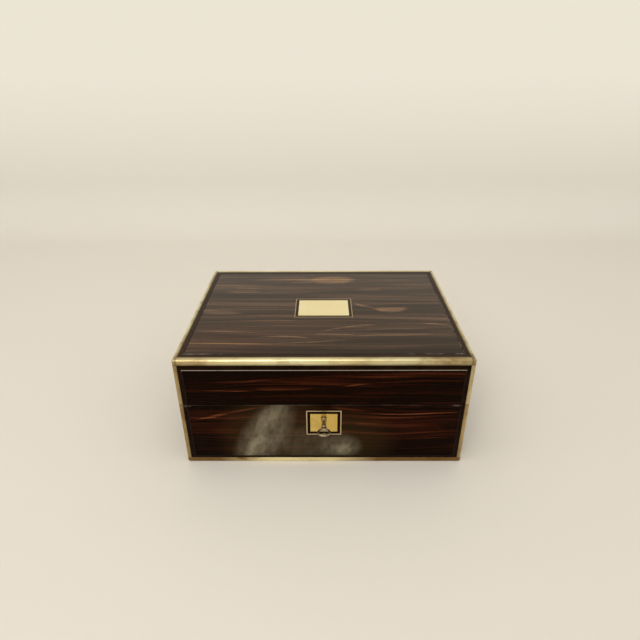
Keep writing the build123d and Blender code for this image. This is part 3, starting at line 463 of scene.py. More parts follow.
def bloom(tree, place, colour, rough):
    """The front's shellac, with a reflection of the window lamp painted into its colour as a whitish veil
    in streaks that lean as its patches do, rougher there; along the edge that meets the lid a light line
    that is partly worn shellac and partly a painted highlight of the edge, and the worn ends of the
    joint."""
    leaned = add(tree, TURN, {0: place, "Rotation": (0.0, 0.0, radians(23))})
    streaked = blots(tree, leaned, (7, 13, 5), detail=4.0, roughness=0.6)
    mottled = add(tree, RANGE, {0: streaked, 1: 0.3, 2: 0.7, 3: 0.45, 4: 1.3})
    painted_reflection = add(tree, MATH, {0: patches(tree, place, PAINTED_REFLECTION_PATCHES), 1: mottled}, operation="MULTIPLY")
    # The window lamp's reflection is painted here: the colour is drawn to a milky 857C66 in the patches.
    reflection_veiled = add(tree, MIX, {0: painted_reflection, 6: colour, 7: linear("857C66")}, data_type="RGBA")
    height = add(tree, SPLIT, {0: place}).outputs["Y"]
    # A light line is painted along the top edge of the base's front as the edge's highlight, broken into
    # runs of worn shellac.
    edge_highlight_and_wear = add(tree, RANGE, {0: height, 1: RIM_TOP / MM - 1.1, 2: RIM_TOP / MM - 0.5, 4: 0.22})
    runs = blots(tree, place, (26, 9, 9), detail=3.0)
    patchy = add(tree, RANGE, {0: runs, 1: 0.4, 2: 0.6, 3: 0.2})
    edge = add(tree, MATH, {0: edge_highlight_and_wear, 1: patchy}, operation="MULTIPLY")
    worn = add(tree, MATH, {0: joint_wear(tree, place), 1: edge}, operation="MAXIMUM")
    dulled = add(tree, MATH, {0: painted_reflection, 1: worn}, operation="MAXIMUM")
    # Worn shellac and the painted edge highlight take the colour 7A6654; the painted reflection is also
    # made rougher.
    return (
        add(tree, MIX, {0: worn, 6: reflection_veiled, 7: linear("7A6654")}, data_type="RGBA"),
        add(tree, MATH, {0: dulled, 1: 0.3, 2: rough}, operation="MULTIPLY_ADD"),
    )


def joint_wear(tree, place):
    """Polish rubbed away in crumbs at the ends of the joint on the front."""
    crumbs = blots(tree, place, (2.2, 1.6, 1.6), detail=3.0)
    rubbed = add(tree, RANGE, {0: crumbs, 1: 0.4, 2: 0.6})
    return add(tree, MATH, {0: patches(tree, place, JOINT_WEAR), 1: rubbed}, operation="MULTIPLY")


def ebony(tree):
    """Polished ebony banding: near black on the walls, browner on the top."""
    place = place_mm(tree)
    grain = blots(tree, place, (14, 1.2, 14), detail=2.0)
    black = add(tree, RAMP, {0: grain}, stops=((0.35, "0C0502"), (0.75, "1E1006")))
    browner_on_top = add(tree, RAMP, {0: grain}, stops=((0.35, "281B10"), (0.75, "3D2E22")))
    above = within(tree, place, (-160, -116, 134), (160, 116, 136))
    colour = add(tree, MIX, {0: above, 6: black, 7: browner_on_top}, data_type="RGBA")
    front = within(tree, place, (-160, -116, 0), (160, -114, 134))
    worn = add(tree, MATH, {0: joint_wear(tree, place_mm(tree, "XZY")), 1: front}, operation="MULTIPLY")
    bump = add(tree, BUMP, {"Height": grain, "Strength": 0.2, "Distance": 0.03 * MM})
    return {
        "Base Color": add(tree, MIX, {0: worn, 6: colour, 7: linear("6E675E")}, data_type="RGBA"),
        "Roughness": add(tree, RANGE, {0: worn, 3: 0.24, 4: 0.6}),
        "Normal": bump,
        "Specular IOR Level": 0.07,
        "Specular Tint": linear("FFCCAA"),
    }


def rubbed_brass(tree, tones, tarnished=0.5, roughness=0.24, order="XYZ", grime_and_shade=0.0, polish_and_reflection=None):
    """Hand-rubbed brass: yellow metal with a brown bloom of tarnish, polishing scratches and dents.

    The tones are the bright metal, the worn metal and the tarnish. Grime and shade is how dark it is
    painted in the corner against the wood: painted shade and dark reflection there, and dirt where the
    rag doesn't reach. Polish and reflection gives the middle along X of the stretch of front that hands
    have kept bright, its half length, where it is darkest, and how dark; away from the middle the dark is
    partly tarnish and partly a painted dark reflection, and behind the front it stays a quarter as dark."""
    bright, worn, tarnish = tones
    place = place_mm(tree, order)
    bloom = blots(tree, place, (26, 14, 14), detail=5.0, roughness=0.6)
    share = add(tree, RANGE, {0: bloom, 1: 0.62 - tarnished * 0.3, 2: 0.85, 3: 0.0, 4: 0.85})
    if polish_and_reflection:
        middle, near, far, dulled = polish_and_reflection
        parts = add(tree, SPLIT, {0: place_mm(tree)}).outputs
        # Darker away from the middle: partly tarnish and partly a painted dark reflection.
        away = add(tree, MATH, {0: parts["X"], 1: middle}, operation="SUBTRACT")
        reach = add(tree, MATH, {0: away}, operation="ABSOLUTE")
        dull_and_reflected_dark = add(tree, RANGE, {0: reach, 1: near, 2: far, 3: 0.0, 4: dulled})
        wood = -BINDING_Y / MM
        behind = add(tree, RANGE, {0: parts["Y"], 1: wood, 2: wood + 8, 3: 1.0, 4: 0.25})
        share = add(tree, MATH, {0: dull_and_reflected_dark, 1: behind, 2: share}, operation="MULTIPLY_ADD", use_clamp=True)
    cloud = blots(tree, place, (60, 40, 40), detail=2.0)
    wear = add(tree, RANGE, {0: cloud, 1: 0.3, 2: 0.7})
    metal = add(tree, MIX, {0: wear, 6: bright, 7: worn}, data_type="RGBA")
    colour = add(tree, MIX, {0: share, 6: metal, 7: tarnish}, data_type="RGBA")
    if grime_and_shade:
        # Darker in the corner against the wood (3E2A14): painted shade and dark reflection, with dirt.
        corner = add(tree, MATH, {0: inner_edge(tree), 1: grime_and_shade}, operation="MULTIPLY")
        colour = add(tree, MIX, {0: corner, 6: colour, 7: linear("3E2A14")}, data_type="RGBA")
    scratches = blots(tree, place, (22, 0.5, 0.5), detail=3.0, roughness=0.7)
    scuffed = add(tree, RANGE, {0: scratches, 1: 0.3, 2: 0.7, 3: -0.05, 4: 0.07})
    rough = add(tree, RANGE, {0: share, 3: roughness, 4: roughness + 0.22})
    rough = add(tree, MATH, {0: rough, 1: scuffed}, operation="ADD", use_clamp=True)
    dents = blots(tree, place, (16, 9, 9), detail=2.0)
    height = add(tree, MATH, {0: scratches, 1: 0.03, 2: dents}, operation="MULTIPLY_ADD")
    bump = add(tree, BUMP, {"Height": height, "Strength": 0.5, "Distance": 0.12 * MM})
    return {"Base Color": colour, "Metallic": 1.0, "Roughness": rough, "Normal": bump}


def inner_edge(tree):
    """1 on the binding right beside the wood, fading to 0 a couple of millimetres out."""
    parts = add(tree, SPLIT, {0: place_mm(tree)}).outputs
    nearest = 0.0
    for axis, edge in (("X", BINDING_X), ("Y", BINDING_Y), ("Z", BINDING_Z)):
        size = add(tree, MATH, {0: parts[axis]}, operation="ABSOLUTE")
        fade = add(tree, RANGE, {0: size, 1: edge / MM, 2: edge / MM + 2.6, 3: 1.0, 4: 0.0})
        past = add(tree, MATH, {0: size, 1: edge / MM - 0.05}, operation="GREATER_THAN")
        close = add(tree, MATH, {0: fade, 1: past}, operation="MULTIPLY")
        nearest = add(tree, MATH, {0: nearest, 1: close}, operation="MAXIMUM")
    return nearest


def inlaid_line(tree, bright, dark):
    """Thin inlaid brass, rubbed bright in runs and tarnished nearly to the wood's tone between them;
    its zones also paint a highlight on the level line near the front's top and shade on the front's other
    lines.
    """
    place = place_mm(tree)
    runs = blots(tree, place, (9, 9, 9), detail=4.0, roughness=0.65)
    level = 0.4
    # The zones set each line's level and bright colour; on the front they paint a highlight and shade.
    for low, high, value, colour in LINE_ZONES_LIT_AND_WORN:
        inside = within(tree, place, low, high)
        level = add(tree, MIX, {0: inside, 2: level, 3: value})
        bright = add(tree, MIX, {0: inside, 6: bright, 7: linear(colour)}, data_type="RGBA")
    lifted = add(tree, MATH, {0: runs, 1: level}, operation="ADD")
    share = add(tree, RANGE, {0: lifted, 1: 0.85, 2: 1.25})
    colour = add(tree, MIX, {0: share, 6: dark, 7: bright}, data_type="RGBA")
    return {
        "Base Color": colour,
        "Metallic": add(tree, RANGE, {0: share, 3: 0.3, 4: 1.0}),
        "Roughness": add(tree, RANGE, {0: share, 3: 0.5, 4: 0.34}),
        "Specular IOR Level": 0.1,
    }


def mahogany(tree, order="XYZ"):
    """Straight-grained Honduras mahogany, oiled and waxed: red-brown with short dark pores."""
    place = place_mm(tree, order)
    wandering = sway(tree, place, 1.5, 90, 20)
    grain = blots(tree, wandering, (110, 4, 4), detail=3.0)
    pits = blots(tree, wandering, (5, 0.45, 0.45), detail=1.0)
    pores = add(tree, RANGE, {0: pits, 1: 0.58, 2: 0.72})
    filled = add(tree, MATH, {0: pores, 1: 0.6}, operation="MULTIPLY")
    colour = add(tree, RAMP, {0: grain}, stops=((0.3, "3B170C"), (0.5, "5E2A17"), (0.72, "7C4024")))
    pored = add(tree, MIX, {0: filled, 6: colour, 7: linear("20100A")}, data_type="RGBA")
    rough = add(tree, RANGE, {0: grain, 1: 0.3, 2: 0.7, 3: 0.42, 4: 0.52})
    bump = add(tree, BUMP, {"Height": pores, "Strength": 0.3, "Distance": -0.08 * MM})
    return {"Base Color": pored, "Roughness": rough, "Normal": bump}


def leather(tree, light, dark):
    """Glazed morocco goatskin: pebbled grain about 0.8 mm across, with worn lighter patches."""
    place = place_mm(tree)
    pebble = add(tree, CELLS, {"Vector": place, "Scale": 1.2}, feature="SMOOTH_F1")
    patch = blots(tree, place, (24, 24, 24), detail=4.0)
    worn = add(tree, RANGE, {0: patch, 1: 0.35, 2: 0.7})
    colour = add(tree, MIX, {0: worn, 6: dark, 7: light}, data_type="RGBA")
    rough = add(tree, RANGE, {0: patch, 1: 0.3, 2: 0.7, 3: 0.36, 4: 0.5})
    grain = pebble.outputs["Distance"]
    bump = add(tree, BUMP, {"Height": grain, "Strength": 0.6, "Distance": 0.12 * MM})
    return {"Base Color": colour, "Roughness": rough, "Normal": bump}


def velvet(tree, light, dark):
    """Silk velvet: a short nap, deep where it stands up and pale where it has been brushed flat."""
    place = place_mm(tree)
    brushed = blots(tree, place, (42, 26, 26), detail=2.0)
    nap = blots(tree, place, (0.7, 0.7, 0.7), detail=2.0)
    flattened = add(tree, RANGE, {0: brushed, 1: 0.36, 2: 0.66, 3: 0.14, 4: 0.5})
    colour = add(tree, MIX, {0: flattened, 6: dark, 7: light}, data_type="RGBA")
    depth = add(tree, RANGE, {0: nap, 1: 0.3, 2: 0.7, 3: 0.4, 4: 0.0})
    shaded = add(tree, MIX, {0: depth, 6: colour, 7: dark}, data_type="RGBA")
    bump = add(tree, BUMP, {"Height": nap, "Strength": 0.5, "Distance": 0.25 * MM})
    return {
        "Base Color": shaded,
        "Roughness": 0.9,
        "Normal": bump,
        "Specular IOR Level": 0.1,
        "Sheen Weight": 0.6,
        "Sheen Roughness": 0.35,
        "Sheen Tint": light,
    }


def cut_glass(tree):
    """Clear lead glass, wheel-cut and polished: heavier and brighter than window glass."""
    place = place_mm(tree)
    draw = blots(tree, place, (9, 9, 9), detail=1.0)
    bump = add(tree, BUMP, {"Height": draw, "Strength": 0.1, "Distance": 0.03 * MM})
    return {
        "Base Color": linear("E9F1EF"),
        "Roughness": 0.04,
        "IOR": 1.56,
        "Transmission Weight": 0.8,
        "Normal": bump,
    }


def silver_plate(tree):
    """Electroplated silver, rubbed with rouge: bright, faintly yellow where it has dulled."""
    place = place_mm(tree)
    bloom = blots(tree, place, (40, 40, 40), detail=1.0)
    share = add(tree, RANGE, {0: bloom, 1: 0.4, 2: 0.8, 3: 0.0, 4: 0.45})
    colour = add(tree, MIX, {0: share, 6: linear("F2EEE6"), 7: linear("A99878")}, data_type="RGBA")
    wiped = blots(tree, place, (3, 0.6, 0.6), detail=3.0)
    fine = add(tree, RANGE, {0: wiped, 1: 0.3, 2: 0.7, 3: 0.08, 4: 0.17})
    rough = add(tree, MATH, {0: share, 1: 0.2, 2: fine}, operation="MULTIPLY_ADD")
    return {"Base Color": colour, "Metallic": 1.0, "Roughness": rough}


def steel(tree, light, dark):
    """Bright-ground steel with the marks of the wheel across it and a few specks of rust."""
    place = place_mm(tree)
    marks = blots(tree, place, (0.5, 12, 12), detail=2.0)
    specks = blots(tree, place, (3, 3, 3), detail=4.0)
    rust = add(tree, RANGE, {0: specks, 1: 0.66, 2: 0.74, 3: 0.0, 4: 0.7})
    ground = add(tree, RANGE, {0: marks, 1: 0.3, 2: 0.7})
    metal = add(tree, MIX, {0: ground, 6: light, 7: dark}, data_type="RGBA")
    colour = add(tree, MIX, {0: rust, 6: metal, 7: linear("5A3A24")}, data_type="RGBA")
    rough = add(tree, RANGE, {0: marks, 1: 0.3, 2: 0.7, 3: 0.24, 4: 0.38})
    return {"Base Color": colour, "Metallic": 1.0, "Roughness": rough}


def pearl(tree):
    """Mother-of-pearl: milky shell with drifting pink and green lights and a high polish."""
    place = place_mm(tree)
    drift = sway(tree, place, 1.5, 10, 5)
    lights = blots(tree, drift, (6, 3, 3), detail=2.0)
    colour = add(
        tree, RAMP, {0: lights},
        stops=((0.3, "D9CFC8"), (0.45, "EFE9E2"), (0.55, "D6E0DA"), (0.7, "F1DFDF")),
    )
    return {"Base Color": colour, "Roughness": 0.18, "Coat Weight": 0.5, "Subsurface Weight": 0.1}


def silvered_glass(tree):
    """Old mirror glass: bright silvering with a few grey specks where it has lifted."""
    place = place_mm(tree)
    specks = blots(tree, place, (4, 4, 4), detail=5.0)
    lifted = add(tree, RANGE, {0: specks, 1: 0.68, 2: 0.76})
    colour = add(tree, MIX, {0: lifted, 6: linear("DDE3E2"), 7: linear("6F6A62")}, data_type="RGBA")
    rough = add(tree, RANGE, {0: lifted, 3: 0.015, 4: 0.3})
    return {"Base Color": colour, "Metallic": 1.0, "Roughness": rough}


def gilding(tree):
    """Gold leaf tooled into leather, rubbed through in places."""
    place = place_mm(tree)
    rubbed = blots(tree, place, (2.5, 2.5, 2.5), detail=3.0)
    share = add(tree, RANGE, {0: rubbed, 1: 0.3, 2: 0.7})
    colour = add(tree, MIX, {0: share, 6: linear("B98A3C"), 7: linear("E3BE74")}, data_type="RGBA")
    return {"Base Color": colour, "Metallic": 0.9, "Roughness": 0.35}


# ---- meshes from arrays ----
def grid_faces(rows, columns, around=True, closed=False):
    """Quads between neighbouring points of a grid, joined round its columns or round its rows."""
    index = np.arange(rows * columns).reshape(rows, columns)
    if closed:
        index = np.vstack([index, index[:1]])
    if around:
        index = np.hstack([index, index[:, :1]])
    corners = [index[:-1, :-1], index[:-1, 1:], index[1:, 1:], index[1:, :-1]]
    return np.stack(corners, axis=-1).reshape(-1, 4).tolist()


def joined(shells):
    """One array of points and one list of faces from several shells of both."""
    points = [shell_points.reshape(-1, 3) for shell_points, _ in shells]
    starts = np.cumsum([0] + [len(part) for part in points]).tolist()
    faces = []
    for start, (_, shell_faces) in zip(starts, shells):
        faces += [[start + i for i in face] for face in shell_faces]
    return np.vstack(points), faces


def put_piece(name, shells, finish, body, stands_for=(), smooth=30):
    """Make one object of the shells, each an array of points and a list of faces, and ride it."""
    mesh = bpy.data.meshes.new(name)
    points, faces = joined(shells)
    mesh.from_pydata(points.tolist(), [], faces)
    piece = bpy.data.objects.new(name, mesh)
    bpy.context.scene.collection.objects.link(piece)
    mesh.materials.append(finish)
    seal(mesh)
    mesh.shade_smooth()
    mesh.set_sharp_from_angle(angle=radians(smooth))
    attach(piece, body)
    if stands_for:
        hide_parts(*stands_for)
    return piece


def seal(mesh):
    """Merge the points that meet and turn every face of the closed shells outwards."""
    work = bmesh.new()
    work.from_mesh(mesh)
    bmesh.ops.remove_doubles(work, verts=work.verts, dist=0.002 * MM)
    bmesh.ops.recalc_face_normals(work, faces=work.faces)
    work.to_mesh(mesh)
    work.free()


def soft_block(low, high, radius, cell=6 * MM):
    """A block with rounded edges, for a lined board or a pad.

    Each point of the plain block is pulled to the core that lies a radius inside it, and pushed
    out again by the radius along its direction from that core."""
    low = np.array(low, float)
    high = np.array(high, float)
    turn = radius * np.tan(np.linspace(pi / 4, 0, 4))
    lines = []
    for a in range(3):
        count = max(2, int((high[a] - low[a] - 2 * radius) / cell))
        flat = np.linspace(low[a] + radius, high[a] - radius, count)
        lines.append(np.concatenate([flat[0] - turn[:-1], flat, flat[-1] + turn[-2::-1]]))
    shells = []
    for a, (u, v) in enumerate(((1, 2), (0, 2), (0, 1))):
        across, along = np.meshgrid(lines[u], lines[v], indexing="ij")
        for level in (low[a], high[a]):
            points = np.empty(across.shape + (3,))
            points[..., u] = across
            points[..., v] = along
            points[..., a] = level
            core = np.clip(points, low + radius, high - radius)
            way = points - core
            way /= np.maximum(np.linalg.norm(way, axis=-1, keepdims=True), 1e-9)
            faces = grid_faces(*across.shape, around=False)
            shells.append((core + way * radius, faces))
    return joined(shells)


def turned(profile, centre, sides=72, flutes=0, cut=0.0, span=(0.0, 0.0), axis="Z"):
    """A turned shape: the profile (radius, height) carried round its axis, capped at both ends.

    Between the two heights of the span the radius loses cut times (1 + cos(flutes * angle)) / 2."""
    radius, height = np.array(profile, float).T[:, :, None]
    angle = np.linspace(0, 2 * pi, sides, endpoint=False)[None, :]
    fluted = (height > span[0]) & (height < span[1])
    ring = radius - fluted * cut * (1 + np.cos(flutes * angle)) / 2
    flat = np.stack([ring * np.cos(angle), ring * np.sin(angle), height + 0 * angle], axis=-1)
    points = flat if axis == "Z" else flat[..., [0, 2, 1]]
    rows = len(profile)
    faces = grid_faces(rows, sides)
    faces.append(list(range(sides)))
    faces.append(list(range((rows - 1) * sides, rows * sides)))
    return points + np.array(centre), faces


def rounded_rings(low, high, corner, profile, capped=True, turns=5):
    """Rings round a rectangle, one for each (inset, height) of the profile.

    A ring's corners have the radius max(corner - inset, 0) about centres that far inside it."""
    low = np.array(low[:2], float)
    high = np.array(high[:2], float)
    middle = (low + high) / 2
    half = (high - low) / 2
    quarter = np.linspace(0, pi / 2, turns)
    angle = np.concatenate([quarter + k * pi / 2 for k in range(4)])
    toward = np.repeat(np.array([(1, 1), (-1, 1), (-1, -1), (1, -1)]), turns, axis=0)
    inset, height = np.array(profile, float).T[:, :, None]
    bend = np.maximum(corner - inset, 0)
    x = middle[0] + toward[:, 0] * (half[0] - inset - bend) + bend * np.cos(angle)
    y = middle[1] + toward[:, 1] * (half[1] - inset - bend) + bend * np.sin(angle)
    points = np.stack([x, y, height + 0 * x], axis=-1)
    rows, columns = x.shape
    faces = grid_faces(rows, columns, closed=not capped)
    if capped:
        faces.append(list(range(columns)))
        faces.append(list(range((rows - 1) * columns, rows * columns)))
    return points, faces


def dress(finish, *names):
    """Give CAD nodes a finish in place of their plain one."""
    for name in names:
        for slot in NODES[name].material_slots:
            slot.material = finish


def brass_tones(settings):
    """The box's bright brass, worn brass and tarnish."""
    return tuple(settings.brass), tuple(settings.brass_worn), tuple(settings.tarnish)


def lining_velvet(name, settings):
    """The velvet of the fittings in its two colours."""
    tones = tuple(settings.velvet), tuple(settings.velvet_deep)
    return material(name, lambda tree: velvet(tree, *tones))


def most_rounding(thickness):
    """The largest radius that the edges of a lining this thick can have."""
    return thickness / 2 - 0.01 * MM


def openings(kind):
    """Two corners of each hollow of a kind that the record states."""
    stated = frame["record"]["physics"]["openings"]
    return [opening["box_m"] for opening in stated if kind in opening["name"]]


# ---- what a user may change ----
COLOUR = {"subtype": "COLOR", "size": 4}


class BoxStageSettings(bpy.types.PropertyGroup):
    """Floor, wall and lights"""

    floor_colour: bpy.props.FloatVectorProperty(
        name="Floor", description="Colour of the floor", default=linear("E2DDD3"), **COLOUR
    )
    wall_colour: bpy.props.FloatVectorProperty(
        name="Wall", description="Colour of the lit wall", default=linear("E9E2D2"), **COLOUR
    )
    wall_distance: bpy.props.FloatProperty(
        name="Wall distance", description="From the box's back to the wall", unit="LENGTH", default=0.62
    )
    sky_strength: bpy.props.FloatProperty(
        name="Room light", description="Strength of the even light of the room", default=0.8
    )
    ceiling_power: bpy.props.FloatProperty(
        name="Ceiling lamp", description="Power of the wide lamp overhead", unit="POWER", default=9.5
    )
    window_power: bpy.props.FloatProperty(
        name="Window lamp", description="Power of the lamp at the front left", unit="POWER", default=3.4
    )


class BoxCaseSettings(bpy.types.PropertyGroup):
    """The brass of the binding and of the inlaid lines"""

    brass: bpy.props.FloatVectorProperty(
        name="Brass", description="Rubbed brass", default=linear("F0EABE"), **COLOUR
    )
    brass_worn: bpy.props.FloatVectorProperty(
        name="Worn brass", description="Duller brass", default=linear("D8C896"), **COLOUR
    )
    tarnish: bpy.props.FloatVectorProperty(
        name="Tarnish", description="Bloom on the brass", default=linear("7C5A2C"), **COLOUR
    )
    line_bright: bpy.props.FloatVectorProperty(
        name="Bright line", description="Rubbed brass line", default=linear("B4AA9C"), **COLOUR
    )
    line_dark: bpy.props.FloatVectorProperty(
        name="Dull line", description="Tarnished brass line", default=linear("161210"), **COLOUR
    )


class BoxLiningSettings(bpy.types.PropertyGroup):
    """Velvet and leather inside the box"""

    velvet: bpy.props.FloatVectorProperty(
        name="Velvet", description="Brushed velvet", default=linear("2C3F86"), **COLOUR
    )
    velvet_deep: bpy.props.FloatVectorProperty(
        name="Deep velvet", description="Standing nap", default=linear("141D4C"), **COLOUR
    )
    leather: bpy.props.FloatVectorProperty(
        name="Leather", description="Worn morocco", default=linear("27325F"), **COLOUR
    )
    leather_deep: bpy.props.FloatVectorProperty(
        name="Deep leather", description="Unworn morocco", default=linear("151C3C"), **COLOUR
    )
    edge: bpy.props.FloatProperty(
        name="Soft edge", description="Rounding of lined edges", unit="LENGTH", default=0.9 * MM
    )


# ---- operators, one for each piece or group of like pieces ----
class BOX_OT_stage(bpy.types.Operator):
    """Camera, floor and wall in one sweep, and soft light"""

    bl_idname = "box.stage"
    bl_label = "Stage"

    def execute(self, context):
        settings = context.scene.box_stage
        self.camera(context)
        self.sweep(settings)
        self.lights(context, settings)
        return {"FINISHED"}

    def camera(self, context):
        """The fitted camera, looking down and a little to the left, rolled about its axis."""
        data = bpy.data.cameras.new("photograph_camera")
        data.lens = LENS_MM
        data.sensor_width = SENSOR_MM
        data.clip_start = 0.01
        forward = Vector((-np.sin(CAMERA_LEFT), np.cos(CAMERA_LEFT), 0.0))
        ahead = forward * np.cos(CAMERA_DOWN) - Vector((0, 0, 1)) * np.sin(CAMERA_DOWN)
        level = Vector((np.cos(CAMERA_LEFT), np.sin(CAMERA_LEFT), 0.0))
        upright = level.cross(ahead)
        roll = -CAMERA_ROLL
        right = level * np.cos(roll) + upright * np.sin(roll)
        above = upright * np.cos(roll) - level * np.sin(roll)
        camera = bpy.data.objects.new("photograph_camera", data)
        turn = Matrix((right, above, -ahead)).transposed().to_4x4()
        camera.matrix_world = Matrix.Translation(CAMERA_PLACE) @ turn
        context.scene.collection.objects.link(camera)
        context.scene.camera = camera

    def sweep(self, settings):
        """Floor and wall as one sheet: a line along Y, a quarter circle up, and a line along Z."""
        bend = 0.12
        reach = 30.0
        height = 6.0
        foot = CAD_HIGH.y + settings.wall_distance - bend
        turn = np.linspace(0, pi / 2, 24)
        y = np.concatenate([[-reach], foot + bend * np.sin(turn), [foot + bend]])
        z = np.concatenate([[0.0], bend * (1 - np.cos(turn)), [height]])
        x = np.linspace(-reach, reach, 9)
        points = np.stack(np.broadcast_arrays(x[None, :], y[:, None], z[:, None]), axis=-1)
        mesh = bpy.data.meshes.new("floor_and_wall")
        mesh.from_pydata(points.reshape(-1, 3).tolist(), [], grid_faces(len(y), len(x), around=False))
        mesh.shade_smooth()
        sheet = bpy.data.objects.new("floor_and_wall", mesh)
        bpy.context.scene.collection.objects.link(sheet)
        mesh.materials.append(material("matt_painted_floor", lambda tree: self.paint(tree, settings)))

    def paint(self, tree, settings):
        """Matt paint with the faintest roller texture; the wall has an even light of its own for
        the eye and for reflections, as a lit backdrop has."""
        place = place_mm(tree)
        nap = blots(tree, place, (3, 3, 3), detail=2.0)
        bump = add(tree, BUMP, {"Height": nap, "Strength": 0.1, "Distance": 0.1 * MM})
        height = add(tree, SPLIT, {0: place}).outputs["Z"]
        wall = add(tree, RANGE, {0: height, 1: 10.0, 2: 360.0})
        own = add(tree, MATH, {0: wall, 1: looked_at(tree)}, operation="MULTIPLY")
        floor = {0: own, 6: tuple(settings.floor_colour), 7: linear("000000")}
        dimmed = add(tree, MIX, floor, data_type="RGBA")
        return {
            "Base Color": dimmed,
            "Roughness": 0.75,
            "Normal": bump,
            "Emission Color": tuple(settings.wall_colour),
            "Emission Strength": own,
        }

    def lights(self, context, settings):
        """Even light from all round, and two square lamps. The eye sees the room as the wall's colour."""
        world = bpy.data.worlds.new("studio_room")
        world.use_nodes = True
        tree = world.node_tree
        light = tuple(settings.sky_strength * part for part in linear("FCFAF6")[:3]) + (1.0,)
        seen = {0: looked_at(tree), 6: light, 7: tuple(settings.wall_colour)}
        colour = add(tree, MIX, seen, data_type="RGBA")
        feed(tree, tree.nodes["Background"], {"Color": colour, "Strength": 1.0})
        context.scene.world = world
        self.lamp(context, "ceiling_softbox", CEILING_PLACE, CEILING_SIZE, settings.ceiling_power)
        self.lamp(context, "window_softbox", WINDOW_PLACE, WINDOW_SIZE, settings.window_power)
        context.scene.view_settings.view_transform = "Standard"

    def lamp(self, context, name, place, size, power):
        """A square lamp that points at the middle of the box."""
        data = bpy.data.lights.new(name, "AREA")
        data.shape = "SQUARE"
        data.size = size
        data.energy = power
        data.color = linear("FFFAF2")[:3]
        lamp = bpy.data.objects.new(name, data)
        aim = Vector((0, 0, CAD_HIGH.z / 2)) - Vector(place)
        turn = aim.to_track_quat("-Z", "Y").to_matrix().to_4x4()
        lamp.matrix_world = Matrix.Translation(place) @ turn
        context.scene.collection.objects.link(lamp)


class BOX_OT_veneer(bpy.types.Operator):
    """Coromandel veneer and ebony banding on all faces"""

    bl_idname = "box.veneer"
    bl_label = "Veneer and banding"

    # Each face's wood from its darkest to its lightest streak, and how strongly its polish shines.
    TOP_TONES = ("150C06", "34241A", "5B4534", "AA8054")
    FRONT_TONES = ("040000", "120200", "341206", "78452A")
    SIDE_TONES = ("0A0200", "220903", "47220F", "8C5428")
    TOP_GLOSS = 0.27
    FRONT_GLOSS = 0.06
    SIDE_GLOSS = 0.12
    # Shifts of the noise (mm), so that no two faces are cut from the same stretch.
    FRONT_SHIFT = 310
    BACK_SHIFT = 900
    ENDS_SHIFT = 1733

    def execute(self, context):
        streak_group()
        reddened = ((RED_PATCHES, "3A140C", 0.32),)
        # An olive fringe painted round the window lamp's painted reflection on the base's front.
        reflection_fringe = ((REFLECTION_FRINGE_PATCHES, "40321A", 0.4),)
        top_cut = "XYZ", TOP_FIGURE, self.TOP_TONES, 0, reddened
        front_cut = "XZY", FRONT_FIGURE, self.FRONT_TONES, self.FRONT_SHIFT
        back_cut = "XZY", (), self.SIDE_TONES, self.BACK_SHIFT
        ends_cut = "YZX", (), self.SIDE_TONES, self.ENDS_SHIFT
        top = self.veneer("coromandel_top", self.TOP_GLOSS, *top_cut)
        lid_front = self.veneer("coromandel_lid_front", self.FRONT_GLOSS, *front_cut)
        # The last True paints the window lamp's reflection and the edge highlight on this front.
        base_front = self.veneer("coromandel_base_front", self.FRONT_GLOSS, *front_cut, reflection_fringe, True)
        back = self.veneer("coromandel_back", self.SIDE_GLOSS, *back_cut)
        ends = self.veneer("coromandel_ends", self.SIDE_GLOSS, *ends_cut)
        dress(top, "lid_top_veneer")
        dress(lid_front, "lid_front_veneer")
        dress(base_front, "base_front_veneer")
        dress(back, "lid_back_veneer", "base_back_veneer")
        dress(ends, "lid_end_veneers", "base_left_veneer", "base_right_veneer", "drawer_front_veneer")
        banding = material("polished_ebony", ebony)
        dress(banding, "lid_ebony_banding", "base_ebony_banding", "drawer_ebony_banding")
        return {"FINISHED"}

    def veneer(self, name, gloss, *figuring):
        """Coromandel under a shellac with the gloss, and a warm tint on its reflections that paints them
        as reflections of warm brown surroundings.
        """
        made = material(name, lambda tree: coromandel(tree, *figuring))
        shader = made.node_tree.nodes["Principled BSDF"]
        # The warm Specular Tint paints the colour of reflections of brown surroundings.
        feed(made.node_tree, shader, {"Specular IOR Level": gloss, "Specular Tint": linear("FFD2A2")})
        return made


